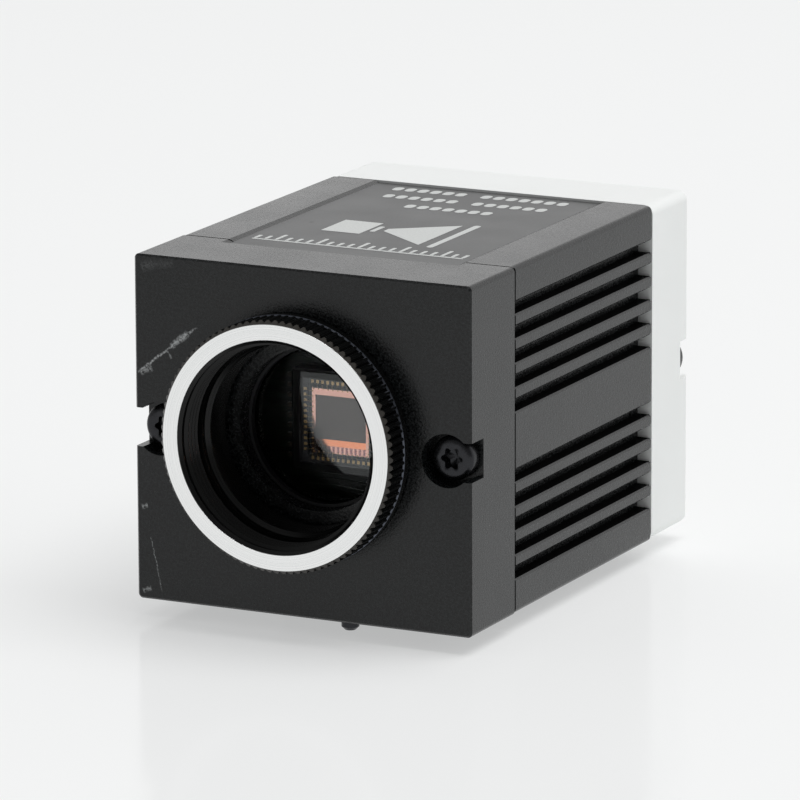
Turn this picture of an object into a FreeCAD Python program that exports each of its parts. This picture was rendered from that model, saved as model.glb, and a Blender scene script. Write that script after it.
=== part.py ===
"""C-mount machine vision camera, 45 x 45 mm in section, built from its separate pieces.

Millimetres. +Z is up, -Y is the way the camera looks, +X is to the right seen from the lens side.
The origin is the middle of the dovetail foot's underside.
"""
import FreeCAD, Part
import math
import os

V = FreeCAD.Vector
OVER_CUT = 1.0               # how far a cutting shape runs past the face it opens
NEAR = 1e-6                  # two positions closer than this are the same

# ---- Outer body ----
BODY_WIDTH = 45.0            # front block, across X
BODY_HEIGHT = 42.8           # front block, without the foot
BLOCK_DEPTH = 12.0           # front block, along Y
HOUSING_LENGTH = 39.7        # finned extrusion, along Y
HOUSING_INSET = 0.2          # housing and cover stand this far inside the block on each side
COVER_DEPTH = 11.4           # white rear cover, along Y
GASKET_THICKNESS = 0.3       # the pressed flat seals at both ends of the housing
BLOCK_RADIUS = 0.6
BLOCK_FRONT_BEVEL = 0.25
HOUSING_RADIUS = 1.8
COVER_RADIUS = 1.2
CORNER_STEPS = 6             # flats along each rounded corner of the extrusion

# ---- Dovetail foot ----
FOOT_WIDTH = 20.0            # at the underside
FOOT_HEIGHT = 2.2
FOOT_FLARE = 30.0            # degrees off the vertical

# ---- Cooling fins on both sides of the housing ----
GROOVES_PER_HALF = 5         # above the plain middle band, and again below it
GROOVE_WIDTH = 1.55
GROOVE_DEPTH = 1.8
FIN_WIDTH = 1.45
MIDDLE_BAND = 7.1
EDGE_BREAK = 0.18            # small bevel on each fin corner

# ---- Label channel along the top ----
CHANNEL_WIDTH = 32.0
CHANNEL_DEPTH = 0.45
CHANNEL_SLOPE = 1.2          # run of each sloping side
RAMP_RUN = 1.3               # how the front block comes down to the channel's floor
RAMP_LAND = 0.5
FILM_THICKNESS = 0.2
FILM_MARGIN = 0.3

# ---- Housing cavity ----
SIDE_WALL = 1.5              # behind the groove floors
FLOOR_WALL = 2.6
ROOF_WALL = 2.1              # under the channel floor
CAVITY_RADIUS = 1.0

# ---- Long screws, two from each end ----
SCREW_INSET = 3.25           # screw axis from the side of the body
SCREW_RADIUS = 1.5           # M3
SCREW_CLEARANCE = 0.2        # in the clearance holes
THREAD_CLEARANCE = 0.05      # in the threaded holes
SCREW_HEAD_RADIUS = 2.75
SCREW_HEAD_HEIGHT = 2.1
SCREW_DOME = 0.5
SCREW_REACH = 14.0           # under the head
SOCKET_FLATS = 2.4
SOCKET_DEPTH = 1.1
SOCKET_TURN = 30.0           # degrees: one corner of the hexagon points up
POCKET_CLEARANCE = 0.55      # round the screw heads
POCKET_SLOT = 4.8            # opens each pocket to the side
FRONT_POCKET_DEPTH = 3.4
REAR_POCKET_DEPTH = 2.8
BOSS_RADIUS = 3.1

# ---- Lens mount, 1 inch 32 threads, 17.526 mm flange distance ----
AXIS_OFFSET_X = -1.1         # optical axis from the middle of the front block
AXIS_OFFSET_Z = 0.55
FLANGE_DISTANCE = 17.526
RING_PROUD = 5.0             # ring face in front of the block
LENS_THREAD_RADIUS = 12.7    # the same thread holds the lens in the ring and the ring in the block
LENS_THREAD_DEPTH = 4.4
LEAD_IN = 0.45
RING_WALL = 2.3              # thread to the edge of the ring's bright face
RING_BEVEL = 0.5
KNURL_TEETH = 100
KNURL_DEPTH = 0.38
KNURL_LAND = 0.28            # share of the pitch left flat on a tooth
RING_RUNNING_FIT = 0.05
SPIGOT_LENGTH = 4.6
SPIGOT_WALL = 1.05
RELIEF_WALL = 0.55           # thinner stretch of the spigot behind the lens thread
RELIEF_DEPTH = 5.2           # from the ring's face to the chamfer

# ---- Bore of the front block ----
SPIGOT_BORE_DEPTH = 5.6
SEAT_BORE_RADIUS = 10.1
SEAT_DEPTH = 9.4             # filter shoulder from the block's front
SEAT_LEDGE = 0.6             # width of the shoulder
SENSOR_WELL = 21.0           # square well in the block's rear
SENSOR_WELL_DEPTH = 1.7

# ---- Infra-red cut filter ----
FILTER_THICKNESS = 0.8
FILTER_CLEARANCE = 0.1
RETAINER_HEIGHT = 0.9
RETAINER_WALL = 0.4

# ---- Image sensor ----
PACKAGE_SIZE = 12.6
PACKAGE_OFFSET_X = 0.25      # package middle from the optical axis
PACKAGE_OFFSET_Z = -0.45
PACKAGE_CAVITY = 8.9
PACKAGE_LEDGE = 10.6         # opening above the bond ledge
LEDGE_HEIGHT = 0.45          # bond ledge above the die floor
DIE_WIDTH = 7.9
DIE_HEIGHT = 8.2
DIE_THICKNESS = 0.5
RIM_HEIGHT = 0.6             # rim in front of the die face
PACKAGE_FLOOR = 0.9
WINDOW_SIZE = 12.2
WINDOW_THICKNESS = 0.55

# ---- Board stack ----
BOARD_SIDE_GAP = 0.65        # from the screw bosses
BOARD_END_GAP = 1.25         # from the cavity's floor and roof
BOARD_THICKNESS = 1.2
BOARD_HOLE_INSET = 2.5
SPACER_FLATS = 4.0
SPACER_STUD_RADIUS = 1.25    # M2.5
SPACER_STUD_LENGTH = 3.0
POST_RADIUS = 2.4
BOARD_SCREW_HEAD_RADIUS = 2.2
BOARD_SCREW_HEAD_HEIGHT = 1.4
BOARD_SCREW_DRIVE_FLATS = 2.0
BOARD_SCREW_DRIVE_DEPTH = 0.8

# ---- Chips and what stands on the boards ----
PROCESSOR_SIZE = 17.0
PROCESSOR_HEIGHT = 1.6
PAD_THICKNESS = 1.0
SPREADER_END_GAP = 1.2       # heat spreader to the spacers beside it
SPREADER_THICKNESS = 1.5
SPREADER_DROP = 9.0          # below the middle of the board
SPREADER_FLANGE = 5.0        # along the housing roof
MEMORY_WIDTH = 8.0
MEMORY_LENGTH = 10.0
MEMORY_HEIGHT = 1.0
PAIR_PITCH = 11.0            # between two like parts side by side
INDUCTOR_SIZE = 6.0
INDUCTOR_HEIGHT = 3.0
TRANSFORMER_WIDTH = 14.0
TRANSFORMER_LENGTH = 9.0
TRANSFORMER_HEIGHT = 4.2
CAPACITOR_RADIUS = 2.5
CAPACITOR_HEIGHT = 5.4
CHIP_PART_LENGTH = 1.0       # small ceramic capacitors and resistors
CHIP_PART_WIDTH = 0.5
CHIP_PART_PITCH = 1.25
CHIP_PART_COUNT = 9
PLUG_WIDTH = 3.4             # stacking connectors between the boards
STRIP_END_GAP = 0.5          # socket strip to the spacers beside it
STRIP_WALL = 0.8
STRIP_FLOOR = 4.0            # socket strip behind the plug's tip
STRIP_LIFT = 1.0             # socket strip above the board in front
PLUG_EDGE_GAP = 2.5          # plug middle from the boards' lower edge

# ---- Round M12 sockets in the rear cover ----
COVER_WALL = 2.2
COVER_REAR_WALL = 2.5
M12_RADIUS = 6.0
M12_THREAD_LENGTH = 6.1
M12_FLANGE_RADIUS = 7.2
M12_FLANGE_THICKNESS = 1.6
M12_SEAL_THICKNESS = 0.4
M12_NECK_RADIUS = 5.6
M12_NECK_CLEARANCE = 0.1
M12_CUP_RADIUS = 4.4
M12_CUP_DEPTH = 7.0
M12_BODY_BACK = 8.0          # body length behind the cover's inner face
CONTACT_TAIL = 3.9           # contacts between the body and the rear board
M12_NUT_FLATS = 14.0
M12_NUT_HEIGHT = 2.0
M12_NUT_TURN = 30.0          # degrees: flats face the sides
SOCKET_SIDE_INSET = 12.3     # the two network sockets from the cover's sides
SOCKET_TOP_INSET = 10.6      # and from its top
POWER_BOTTOM_INSET = 11.6    # the power socket from the cover's bottom
INSERT_CLEARANCE = 0.05
SOCKET_FACE_BACK = 0.9       # face of a female insert behind the shell's rim
CONTACT_RADIUS = 0.4
CONTACT_HOLE_RADIUS = 0.55
CONTACT_STANDOFF = 1.0       # pin tips behind the shell's rim
NETWORK_PIN_RADIUS = 2.6     # four contacts, and a fifth in the middle of the data socket
NETWORK_CONTACTS = 4
NETWORK_TURN = 45.0
POWER_PIN_RADIUS = 2.75      # nine pins outside
POWER_CONTACTS = 9
POWER_INNER_RADIUS = 1.15    # three pins inside
POWER_INNER_CONTACTS = 3
POWER_TURN = 90.0

# ---- Status lights ----
GUIDE_RADIUS = 0.9
GUIDE_CLEARANCE = 0.05
GUIDE_SIDE_INSET = 9.8       # column of lights from the cover's side
GUIDE_FIRST_RISE = 17.4      # topmost light from the cover's bottom
GUIDE_PITCH = 2.4
GUIDE_COUNT = 4
GUIDE_LIFT = 0.25            # gap between a light and its guide
LED_SIZE = 1.6
LED_HEIGHT = 0.8

# ---- Stop stud under the front block ----
STOP_RADIUS = 1.1
STOP_PROUD = 1.1
STOP_CHAMFER = 0.4
STOP_X = 5.6
STOP_BEHIND_FRONT = 1.6
STOP_SINK = 2.0

# ---- Stations along Y ----
y_housing_front = -HOUSING_LENGTH / 2
y_housing_rear = HOUSING_LENGTH / 2
y_block_rear = y_housing_front - GASKET_THICKNESS
y_block_front = y_block_rear - BLOCK_DEPTH
y_ring_face = y_block_front - RING_PROUD
y_die = y_ring_face + FLANGE_DISTANCE
y_die_floor = y_die + DIE_THICKNESS
y_package_back = y_die_floor + PACKAGE_FLOOR
y_package_front = y_die - RIM_HEIGHT
y_cover_front = y_housing_rear + GASKET_THICKNESS
y_cover_rear = y_cover_front + COVER_DEPTH
y_cover_inner = y_cover_rear - COVER_REAR_WALL
y_filter_seat = y_block_front + SEAT_DEPTH
y_flange_back = y_cover_rear + M12_SEAL_THICKNESS
y_socket_rim = y_flange_back + M12_FLANGE_THICKNESS + M12_THREAD_LENGTH
y_socket_back = y_cover_inner - M12_BODY_BACK
y_sensor_board = y_package_back
y_connector_board = y_socket_back - CONTACT_TAIL - BOARD_THICKNESS
board_step = (y_connector_board - y_sensor_board) / 3     # four boards, evenly spaced
y_processor_board = y_sensor_board + board_step
y_power_board = y_processor_board + board_step
y_boards = [y_sensor_board, y_processor_board, y_power_board, y_connector_board]
spacer_length = board_step - BOARD_THICKNESS

# ---- Heights and places across the body ----
z_bottom = FOOT_HEIGHT
z_top = FOOT_HEIGHT + BODY_HEIGHT
z_mid = FOOT_HEIGHT + BODY_HEIGHT / 2
z_channel = z_top - CHANNEL_DEPTH
z_axis = z_mid + AXIS_OFFSET_Z
x_axis = AXIS_OFFSET_X
half_block = BODY_WIDTH / 2
half_housing = half_block - HOUSING_INSET
screw_x = half_block - SCREW_INSET
cavity_half = half_housing - GROOVE_DEPTH - SIDE_WALL
z_cavity_bottom = z_bottom + FLOOR_WALL
z_cavity_top = z_channel - ROOF_WALL
x_package = x_axis + PACKAGE_OFFSET_X
z_package = z_axis + PACKAGE_OFFSET_Z
z_board = (z_cavity_bottom + z_cavity_top) / 2
board_half_x = screw_x - BOSS_RADIUS - BOARD_SIDE_GAP
board_half_z = (z_cavity_top - z_cavity_bottom) / 2 - BOARD_END_GAP
board_hole_x = board_half_x - BOARD_HOLE_INSET
board_hole_z = board_half_z - BOARD_HOLE_INSET
z_plug = z_board - board_half_z + PLUG_EDGE_GAP
spacer_reach = SPACER_FLATS / math.sqrt(3)
plug_half_x = board_hole_x - spacer_reach - STRIP_END_GAP - STRIP_WALL
spreader_half = board_hole_x - spacer_reach - SPREADER_END_GAP
screw_spots = [(-screw_x, z_mid), (screw_x, z_mid)]
board_spots = [(sx * board_hole_x, z_board + sz * board_hole_z) for sx in (-1, 1) for sz in (-1, 1)]
guide_x = half_housing - GUIDE_SIDE_INSET
guide_top = z_bottom + GUIDE_FIRST_RISE
guide_spots = [(guide_x, guide_top - i * GUIDE_PITCH) for i in range(GUIDE_COUNT)]
socket_x = half_housing - SOCKET_SIDE_INSET
lan_spot = (-socket_x, z_top - SOCKET_TOP_INSET)
data_spot = (socket_x, z_top - SOCKET_TOP_INSET)
power_spot = (0.0, z_bottom + POWER_BOTTOM_INSET)

# ---- Radii that follow from the threads and bores ----
pocket_radius = SCREW_HEAD_RADIUS + POCKET_CLEARANCE
ring_face_radius = LENS_THREAD_RADIUS + RING_WALL
ring_outer = ring_face_radius + RING_BEVEL
spigot_radius = LENS_THREAD_RADIUS - RING_RUNNING_FIT
throat_radius = SEAT_BORE_RADIUS - SEAT_LEDGE


# ---- Shape helpers ----
def box(x0, x1, y0, y1, z0, z1):
    """A block between two corners."""
    return Part.makeBox(x1 - x0, y1 - y0, z1 - z0, V(x0, y0, z0))


def rod(spot, radius, y0, y1):
    """A round bar along Y at an (x, z) place."""
    return Part.makeCylinder(radius, y1 - y0, V(spot[0], y0, spot[1]), V(0, 1, 0))


def turned(spot, profile):
    """A turned piece: (radius, y) points spun about the line along Y through spot."""
    points = [V(spot[0] + radius, y, spot[1]) for radius, y in profile]
    face = Part.Face(Part.makePolygon(points + points[:1]))
    return face.revolve(V(spot[0], 0, spot[1]), V(0, 1, 0), 360)


def prism(outline, y0, y1):
    """An (x, z) outline drawn out along Y."""
    points = [V(x, y0, z) for x, z in outline]
    return Part.Face(Part.makePolygon(points + points[:1])).extrude(V(0, y1 - y0, 0))


def hexagon(spot, flats, turn=0.0):
    """Corner points of a hexagon by its width across flats."""
    reach = flats / math.sqrt(3)
    angles = [math.radians(60 * i + turn) for i in range(6)]
    return [(spot[0] + reach * math.cos(a), spot[1] + reach * math.sin(a)) for a in angles]


def around(spot, radius, count, turn=0.0):
    """Evenly spaced places on a circle."""
    angles = [2 * math.pi * i / count + math.radians(turn) for i in range(count)]
    return [(spot[0] + radius * math.cos(a), spot[1] + radius * math.sin(a)) for a in angles]


def edges_along_y(shape, x_reach):
    """The four outer corner edges of a body that run along Y."""
    found = []
    for edge in shape.Edges:
        bounds = edge.BoundBox
        along = bounds.XLength < NEAR and bounds.ZLength < NEAR
        if along and abs(abs(bounds.XMin) - x_reach) < NEAR:
            found.append(edge)
    return found


def rounded_box(half_x, y0, y1, z0, z1, radius):
    """A block with its four edges along Y rounded."""
    block = box(-half_x, half_x, y0, y1, z0, z1)
    return block.makeFillet(radius, edges_along_y(block, half_x))


def save(name, *solids):
    """Write one node: a single solid, or a group of separate ones."""
    shape = solids[0] if len(solids) == 1 else Part.makeCompound(list(solids))
    shape.exportStep("parts/" + name + ".step")


# ---- Housing: finned extrusion with the dovetail foot and the label channel ----
def groove_spans():
    """Lower and upper height of each groove in one side, from the bottom up."""
    pitch = GROOVE_WIDTH + FIN_WIDTH
    starts = [MIDDLE_BAND / 2 + i * pitch for i in range(GROOVES_PER_HALF)]
    upper = [(z_mid + s, z_mid + s + GROOVE_WIDTH) for s in starts]
    lower = [(z_mid - s - GROOVE_WIDTH, z_mid - s) for s in reversed(starts)]
    return lower + upper


def fin_side(half_width):
    """Outline of the right-hand fins, from the bottom up."""
    outline = []
    for low, high in groove_spans():
        outline.append((half_width, low - EDGE_BREAK))
        outline.append((half_width - EDGE_BREAK, low))
        outline.append((half_width - GROOVE_DEPTH, low))
        outline.append((half_width - GROOVE_DEPTH, high))
        outline.append((half_width - EDGE_BREAK, high))
        outline.append((half_width, high + EDGE_BREAK))
    return outline


def corner(x_centre, z_centre, radius, start):
    """Points on a quarter round, counter-clockwise from the start angle."""
    angles = [math.radians(start + 90.0 * i / CORNER_STEPS) for i in range(CORNER_STEPS + 1)]
    return [(x_centre + radius * math.cos(a), z_centre + radius * math.sin(a)) for a in angles]


def channel_outline(z_over):
    """Section of the label channel, open upwards to z_over."""
    half = CHANNEL_WIDTH / 2
    floor = half - CHANNEL_SLOPE
    left = [(-half, z_over), (-half, z_top), (-floor, z_channel)]
    return left + [(-x, z) for x, z in reversed(left)]


def foot_outline():
    """Right half of the dovetail, from its underside up."""
    flare = FOOT_HEIGHT * math.tan(math.radians(FOOT_FLARE))
    return [(FOOT_WIDTH / 2, 0.0), (FOOT_WIDTH / 2 - flare, z_bottom)]


def housing_outline():
    """The whole section: foot, lower corner, fins, upper corner, then the mirror image."""
    inner_x = half_housing - HOUSING_RADIUS
    half = foot_outline()
    half += corner(inner_x, z_bottom + HOUSING_RADIUS, HOUSING_RADIUS, -90)
    half += fin_side(half_housing)
    half += corner(inner_x, z_top - HOUSING_RADIUS, HOUSING_RADIUS, 0)
    return half + [(-x, z) for x, z in reversed(half)]


def cavity(half_x, y0, y1, z0, z1):
    """Inner space with rounded corners, clear of the two screw bosses."""
    space = rounded_box(half_x, y0, y1, z0, z1, CAVITY_RADIUS)
    for x, z in screw_spots:
        space = space.cut(rod((x, z), BOSS_RADIUS, y0, y1))
        side = math.copysign(half_block, x)
        low, high = sorted((x, side))
        space = space.cut(box(low, high, y0, y1, z - BOSS_RADIUS, z + BOSS_RADIUS))
    return space


def housing():
    body = prism(housing_outline(), y_housing_front, y_housing_rear)
    body = body.cut(prism(channel_outline(z_top + OVER_CUT), y_housing_front, y_housing_rear))
    body = body.cut(cavity(cavity_half, y_housing_front, y_housing_rear, z_cavity_bottom, z_cavity_top))
    for spot in screw_spots:
        body = body.cut(rod(spot, SCREW_RADIUS + THREAD_CLEARANCE, y_housing_front, y_housing_rear))
    return body


# ---- Flat seals between the housing and its two ends ----
def gasket(y0):
    y1 = y0 + GASKET_THICKNESS
    outer_x = half_housing - GROOVE_DEPTH - HOUSING_INSET
    z0 = z_bottom + HOUSING_INSET
    z1 = z_channel - HOUSING_INSET
    seal = rounded_box(outer_x, y0, y1, z0, z1, CAVITY_RADIUS)
    seal = seal.cut(cavity(cavity_half, y0, y1, z_cavity_bottom, z_cavity_top))
    for spot in screw_spots:
        seal = seal.cut(rod(spot, SCREW_RADIUS + SCREW_CLEARANCE, y0, y1))
    return seal


# ---- Front block: carries the lens ring, the filter and the sensor board ----
def block_ramp():
    """What is taken off the block's top so that it runs down into the label channel."""
    y_land = y_block_rear - RAMP_LAND
    profile = [V(0, y_land - RAMP_RUN, z_top), V(0, y_land, z_channel), V(0, y_block_rear, z_channel)]
    profile += [V(0, y_block_rear, z_top + OVER_CUT), V(0, y_land - RAMP_RUN, z_top + OVER_CUT)]
    wedge = Part.Face(Part.makePolygon(profile + profile[:1])).extrude(V(CHANNEL_WIDTH, 0, 0))
    wedge.translate(V(-CHANNEL_WIDTH / 2, 0, 0))
    return wedge.common(prism(channel_outline(z_top + OVER_CUT), y_block_front, y_block_rear))


def bevel_front(block):
    """Break the sharp edges round the block's front face."""
    found = [e for e in block.Edges if abs(e.BoundBox.YMax - y_block_front) < NEAR]
    return block.makeChamfer(BLOCK_FRONT_BEVEL, found)


def front_bore():
    """The stepped bore from the ring's spigot down to the sensor well."""
    y_shoulder = y_block_front + SPIGOT_BORE_DEPTH
    y_well = y_block_rear - SENSOR_WELL_DEPTH
    profile = [(0, y_block_front), (LENS_THREAD_RADIUS, y_block_front), (LENS_THREAD_RADIUS, y_shoulder)]
    profile += [(SEAT_BORE_RADIUS, y_shoulder), (SEAT_BORE_RADIUS, y_filter_seat)]
    profile += [(throat_radius, y_filter_seat), (throat_radius, y_well), (0, y_well)]
    well = box(x_package - SENSOR_WELL / 2, x_package + SENSOR_WELL / 2, y_well, y_block_rear,
               z_package - SENSOR_WELL / 2, z_package + SENSOR_WELL / 2)
    return turned((x_axis, z_axis), profile).fuse(well)


def screw_pocket(spot, y0, y1):
    """Counterbore for a screw head, with a slot to the side of the body."""
    x0, x1 = sorted((spot[0], math.copysign(half_block + OVER_CUT, spot[0])))
    slot = box(x0, x1, y0, y1, spot[1] - POCKET_SLOT / 2, spot[1] + POCKET_SLOT / 2)
    return rod(spot, pocket_radius, y0, y1).fuse(slot)


def front_block():
    block = rounded_box(half_block, y_block_front, y_block_rear, z_bottom, z_top, BLOCK_RADIUS)
    block = bevel_front(block)
    block = block.cut(block_ramp())
    block = block.cut(front_bore())
    y_pocket = y_block_front + FRONT_POCKET_DEPTH
    for spot in screw_spots:
        block = block.cut(screw_pocket(spot, y_block_front, y_pocket))
        block = block.cut(rod(spot, SCREW_RADIUS + SCREW_CLEARANCE, y_pocket, y_block_rear))
    for spot in board_spots:
        block = block.fuse(rod(spot, POST_RADIUS, y_block_rear, y_sensor_board))
        y_deep = y_sensor_board - SPACER_STUD_LENGTH
        block = block.cut(rod(spot, SPACER_STUD_RADIUS + THREAD_CLEARANCE, y_deep, y_sensor_board))
    stud_hole = Part.makeCylinder(STOP_RADIUS + THREAD_CLEARANCE, STOP_SINK, stop_place(z_bottom), V(0, 0, 1))
    return block.cut(stud_hole)


def stop_place(z):
    return V(STOP_X, y_block_front + STOP_BEHIND_FRONT, z)


def stop_stud():
    """Small stud with a tapered tip under the block: it stops the dovetail's clamp."""
    length = STOP_SINK + STOP_PROUD
    stud = Part.makeCylinder(STOP_RADIUS, length, stop_place(z_bottom - STOP_PROUD), V(0, 0, 1))
    tip = [e for e in stud.Edges if abs(e.BoundBox.ZMax - (z_bottom - STOP_PROUD)) < NEAR]
    return stud.makeChamfer(STOP_CHAMFER, tip)


# ---- Lens ring: knurled, turned from one bar, screwed into the front block ----
def knurl_outline():
    """Tooth by tooth outline of the straight knurl."""
    half_pitch = math.pi / KNURL_TEETH
    tooth = [(-KNURL_LAND, ring_outer), (KNURL_LAND, ring_outer), (1.0, ring_outer - KNURL_DEPTH)]
    outline = []
    for i in range(KNURL_TEETH):
        for turn, radius in tooth:
            angle = (2 * i + turn) * half_pitch
            outline.append((x_axis + radius * math.cos(angle), z_axis + radius * math.sin(angle)))
    return outline


def ring_head():
    """The knurled part that stands in front of the block."""
    y_thread_end = y_ring_face + LENS_THREAD_DEPTH
    bevel = RING_BEVEL
    relief = spigot_radius - RELIEF_WALL
    profile = [(LENS_THREAD_RADIUS + LEAD_IN, y_ring_face), (ring_face_radius, y_ring_face)]
    profile += [(ring_outer, y_ring_face + bevel), (ring_outer, y_block_front - bevel / 2)]
    profile += [(ring_outer - bevel / 2, y_block_front), (relief, y_block_front), (relief, y_thread_end)]
    profile += [(LENS_THREAD_RADIUS, y_thread_end), (LENS_THREAD_RADIUS, y_ring_face + LEAD_IN)]
    return turned((x_axis, z_axis), profile).common(prism(knurl_outline(), y_ring_face, y_block_front))


def ring_spigot():
    """The threaded end inside the block, with a chamfer behind the lens thread."""
    y_relief_end = y_ring_face + RELIEF_DEPTH
    y_end = y_block_front + SPIGOT_LENGTH
    relief = spigot_radius - RELIEF_WALL
    bore = spigot_radius - SPIGOT_WALL
    profile = [(relief, y_block_front), (spigot_radius, y_block_front), (spigot_radius, y_end), (bore, y_end)]
    profile += [(bore, y_relief_end + relief - bore), (relief, y_relief_end)]
    return turned((x_axis, z_axis), profile)


def mount_ring():
    return ring_head().fuse(ring_spigot())


# ---- Filter and its retaining ring ----
def filter_glass():
    spot = (x_axis, z_axis)
    return rod(spot, SEAT_BORE_RADIUS - FILTER_CLEARANCE, y_filter_seat - FILTER_THICKNESS, y_filter_seat)


def filter_retainer():
    y1 = y_filter_seat - FILTER_THICKNESS
    y0 = y1 - RETAINER_HEIGHT
    outer = SEAT_BORE_RADIUS - THREAD_CLEARANCE
    bore = outer - RETAINER_WALL
    profile = [(outer, y0), (outer, y1), (bore, y1), (bore, y0)]
    return turned((x_axis, z_axis), profile)


# ---- Image sensor ----
def chip(x, z, width, height, y0, y1):
    """A flat block by its middle and its size across the board."""
    return box(x - width / 2, x + width / 2, y0, y1, z - height / 2, z + height / 2)


def sensor_square(side, y0, y1):
    return chip(x_package, z_package, side, side, y0, y1)


def sensor_package():
    """Ceramic carrier: rim, bond ledge and die floor."""
    package = sensor_square(PACKAGE_SIZE, y_package_front, y_package_back)
    y_ledge = y_die_floor - LEDGE_HEIGHT
    package = package.cut(sensor_square(PACKAGE_LEDGE, y_package_front, y_ledge))
    return package.cut(sensor_square(PACKAGE_CAVITY, y_ledge, y_die_floor))


def sensor_die():
    return chip(x_package, z_package, DIE_WIDTH, DIE_HEIGHT, y_die, y_die_floor)


def sensor_window():
    return sensor_square(WINDOW_SIZE, y_package_front - WINDOW_THICKNESS, y_package_front)


# ---- Board stack ----
def board(y0):
    plate = box(-board_half_x, board_half_x, y0, y0 + BOARD_THICKNESS,
                z_board - board_half_z, z_board + board_half_z)
    for spot in board_spots:
        plate = plate.cut(rod(spot, SPACER_STUD_RADIUS + THREAD_CLEARANCE, y0, y0 + BOARD_THICKNESS))
    return plate


def spacers():
    """Hexagon spacers: each one's stud goes through the board in front of it."""
    found = []
    for y_board in y_boards[:-1]:
        y0 = y_board + BOARD_THICKNESS
        y1 = y0 + spacer_length
        for spot in board_spots:
            spacer = prism(hexagon(spot, SPACER_FLATS), y0, y1)
            spacer = spacer.fuse(rod(spot, SPACER_STUD_RADIUS, y0 - SPACER_STUD_LENGTH, y0))
            hole = rod(spot, SPACER_STUD_RADIUS + THREAD_CLEARANCE, y1 - SPACER_STUD_LENGTH, y1)
            found.append(spacer.cut(hole))
    return found


def board_screws():
    y_head = y_connector_board + BOARD_THICKNESS
    found = []
    for spot in board_spots:
        head = rod(spot, BOARD_SCREW_HEAD_RADIUS, y_head, y_head + BOARD_SCREW_HEAD_HEIGHT)
        head = head.fuse(rod(spot, SPACER_STUD_RADIUS, y_head - SPACER_STUD_LENGTH, y_head))
        y_top = y_head + BOARD_SCREW_HEAD_HEIGHT
        drive = prism(hexagon(spot, BOARD_SCREW_DRIVE_FLATS), y_top - BOARD_SCREW_DRIVE_DEPTH, y_top)
        found.append(head.cut(drive))
    return found


def strip(y0, y1, wall):
    """A long block at the boards' lower edge, wall bigger than the plug on every side."""
    half_x = plug_half_x + wall
    half_z = PLUG_WIDTH / 2 + wall
    return box(-half_x, half_x, y0, y1, z_plug - half_z, z_plug + half_z)


def stacking_plugs():
    """Pin strips on the rear of the first three boards."""
    fronts = [y_board + BOARD_THICKNESS for y_board in y_boards[:-1]]
    return [strip(y0, y0 + spacer_length - STRIP_FLOOR, 0) for y0 in fronts]


def stacking_sockets():
    """Socket strips on the front of the last three boards, closed over the plugs."""
    found = []
    for y_board in y_boards[1:]:
        y0 = y_board - spacer_length + STRIP_LIFT
        room = strip(y0, y_board - STRIP_FLOOR, THREAD_CLEARANCE)
        found.append(strip(y0, y_board, STRIP_WALL).cut(room))
    return found


def column_of_chips(x, z_centre, y0, y1):
    """A column of small ceramic parts."""
    found = []
    for i in range(CHIP_PART_COUNT):
        z = z_centre + (i - (CHIP_PART_COUNT - 1) / 2) * CHIP_PART_PITCH
        found.append(chip(x, z, CHIP_PART_LENGTH, CHIP_PART_WIDTH, y0, y1))
    return found


def sensor_board_parts():
    """Small parts either side of the sensor package."""
    found = []
    for side in (-1, 1):
        x = x_package + side * (PACKAGE_SIZE / 2 + CHIP_PART_LENGTH)
        found += column_of_chips(x, z_package, y_sensor_board - CHIP_PART_WIDTH, y_sensor_board)
    return found


def processor_chip():
    y0 = y_processor_board + BOARD_THICKNESS
    return chip(0, z_board, PROCESSOR_SIZE, PROCESSOR_SIZE, y0, y0 + PROCESSOR_HEIGHT)


def thermal_pad():
    y0 = y_processor_board + BOARD_THICKNESS + PROCESSOR_HEIGHT
    return chip(0, z_board, PROCESSOR_SIZE, PROCESSOR_SIZE, y0, y0 + PAD_THICKNESS)


def heat_spreader():
    """Bent plate that carries the processor's heat to the housing roof."""
    y0 = y_processor_board + BOARD_THICKNESS + PROCESSOR_HEIGHT + PAD_THICKNESS
    y1 = y0 + SPREADER_THICKNESS
    plate = box(-spreader_half, spreader_half, y0, y1, z_board - SPREADER_DROP, z_cavity_top)
    z_flange = z_cavity_top - SPREADER_THICKNESS
    flange = box(-spreader_half, spreader_half, y0, y1 + SPREADER_FLANGE, z_flange, z_cavity_top)
    return plate.fuse(flange).removeSplitter()


def pair_spots(z):
    """Two places side by side on a board."""
    return [(-PAIR_PITCH / 2, z), (PAIR_PITCH / 2, z)]


def memory_chips():
    y0 = y_processor_board - MEMORY_HEIGHT
    return [chip(x, z, MEMORY_WIDTH, MEMORY_LENGTH, y0, y_processor_board) for x, z in pair_spots(z_board)]


def inductors():
    y0 = y_power_board + BOARD_THICKNESS
    y1 = y0 + INDUCTOR_HEIGHT
    return [chip(x, z, INDUCTOR_SIZE, INDUCTOR_SIZE, y0, y1) for x, z in pair_spots(z_board + INDUCTOR_SIZE)]


def power_capacitors():
    y0 = y_power_board + BOARD_THICKNESS
    y1 = y0 + CAPACITOR_HEIGHT
    return [rod(spot, CAPACITOR_RADIUS, y0, y1) for spot in pair_spots(z_board - CAPACITOR_RADIUS)]


def network_transformer():
    y0 = y_connector_board - TRANSFORMER_HEIGHT
    z = z_board + TRANSFORMER_LENGTH / 2
    return chip(0, z, TRANSFORMER_WIDTH, TRANSFORMER_LENGTH, y0, y_connector_board)


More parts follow.
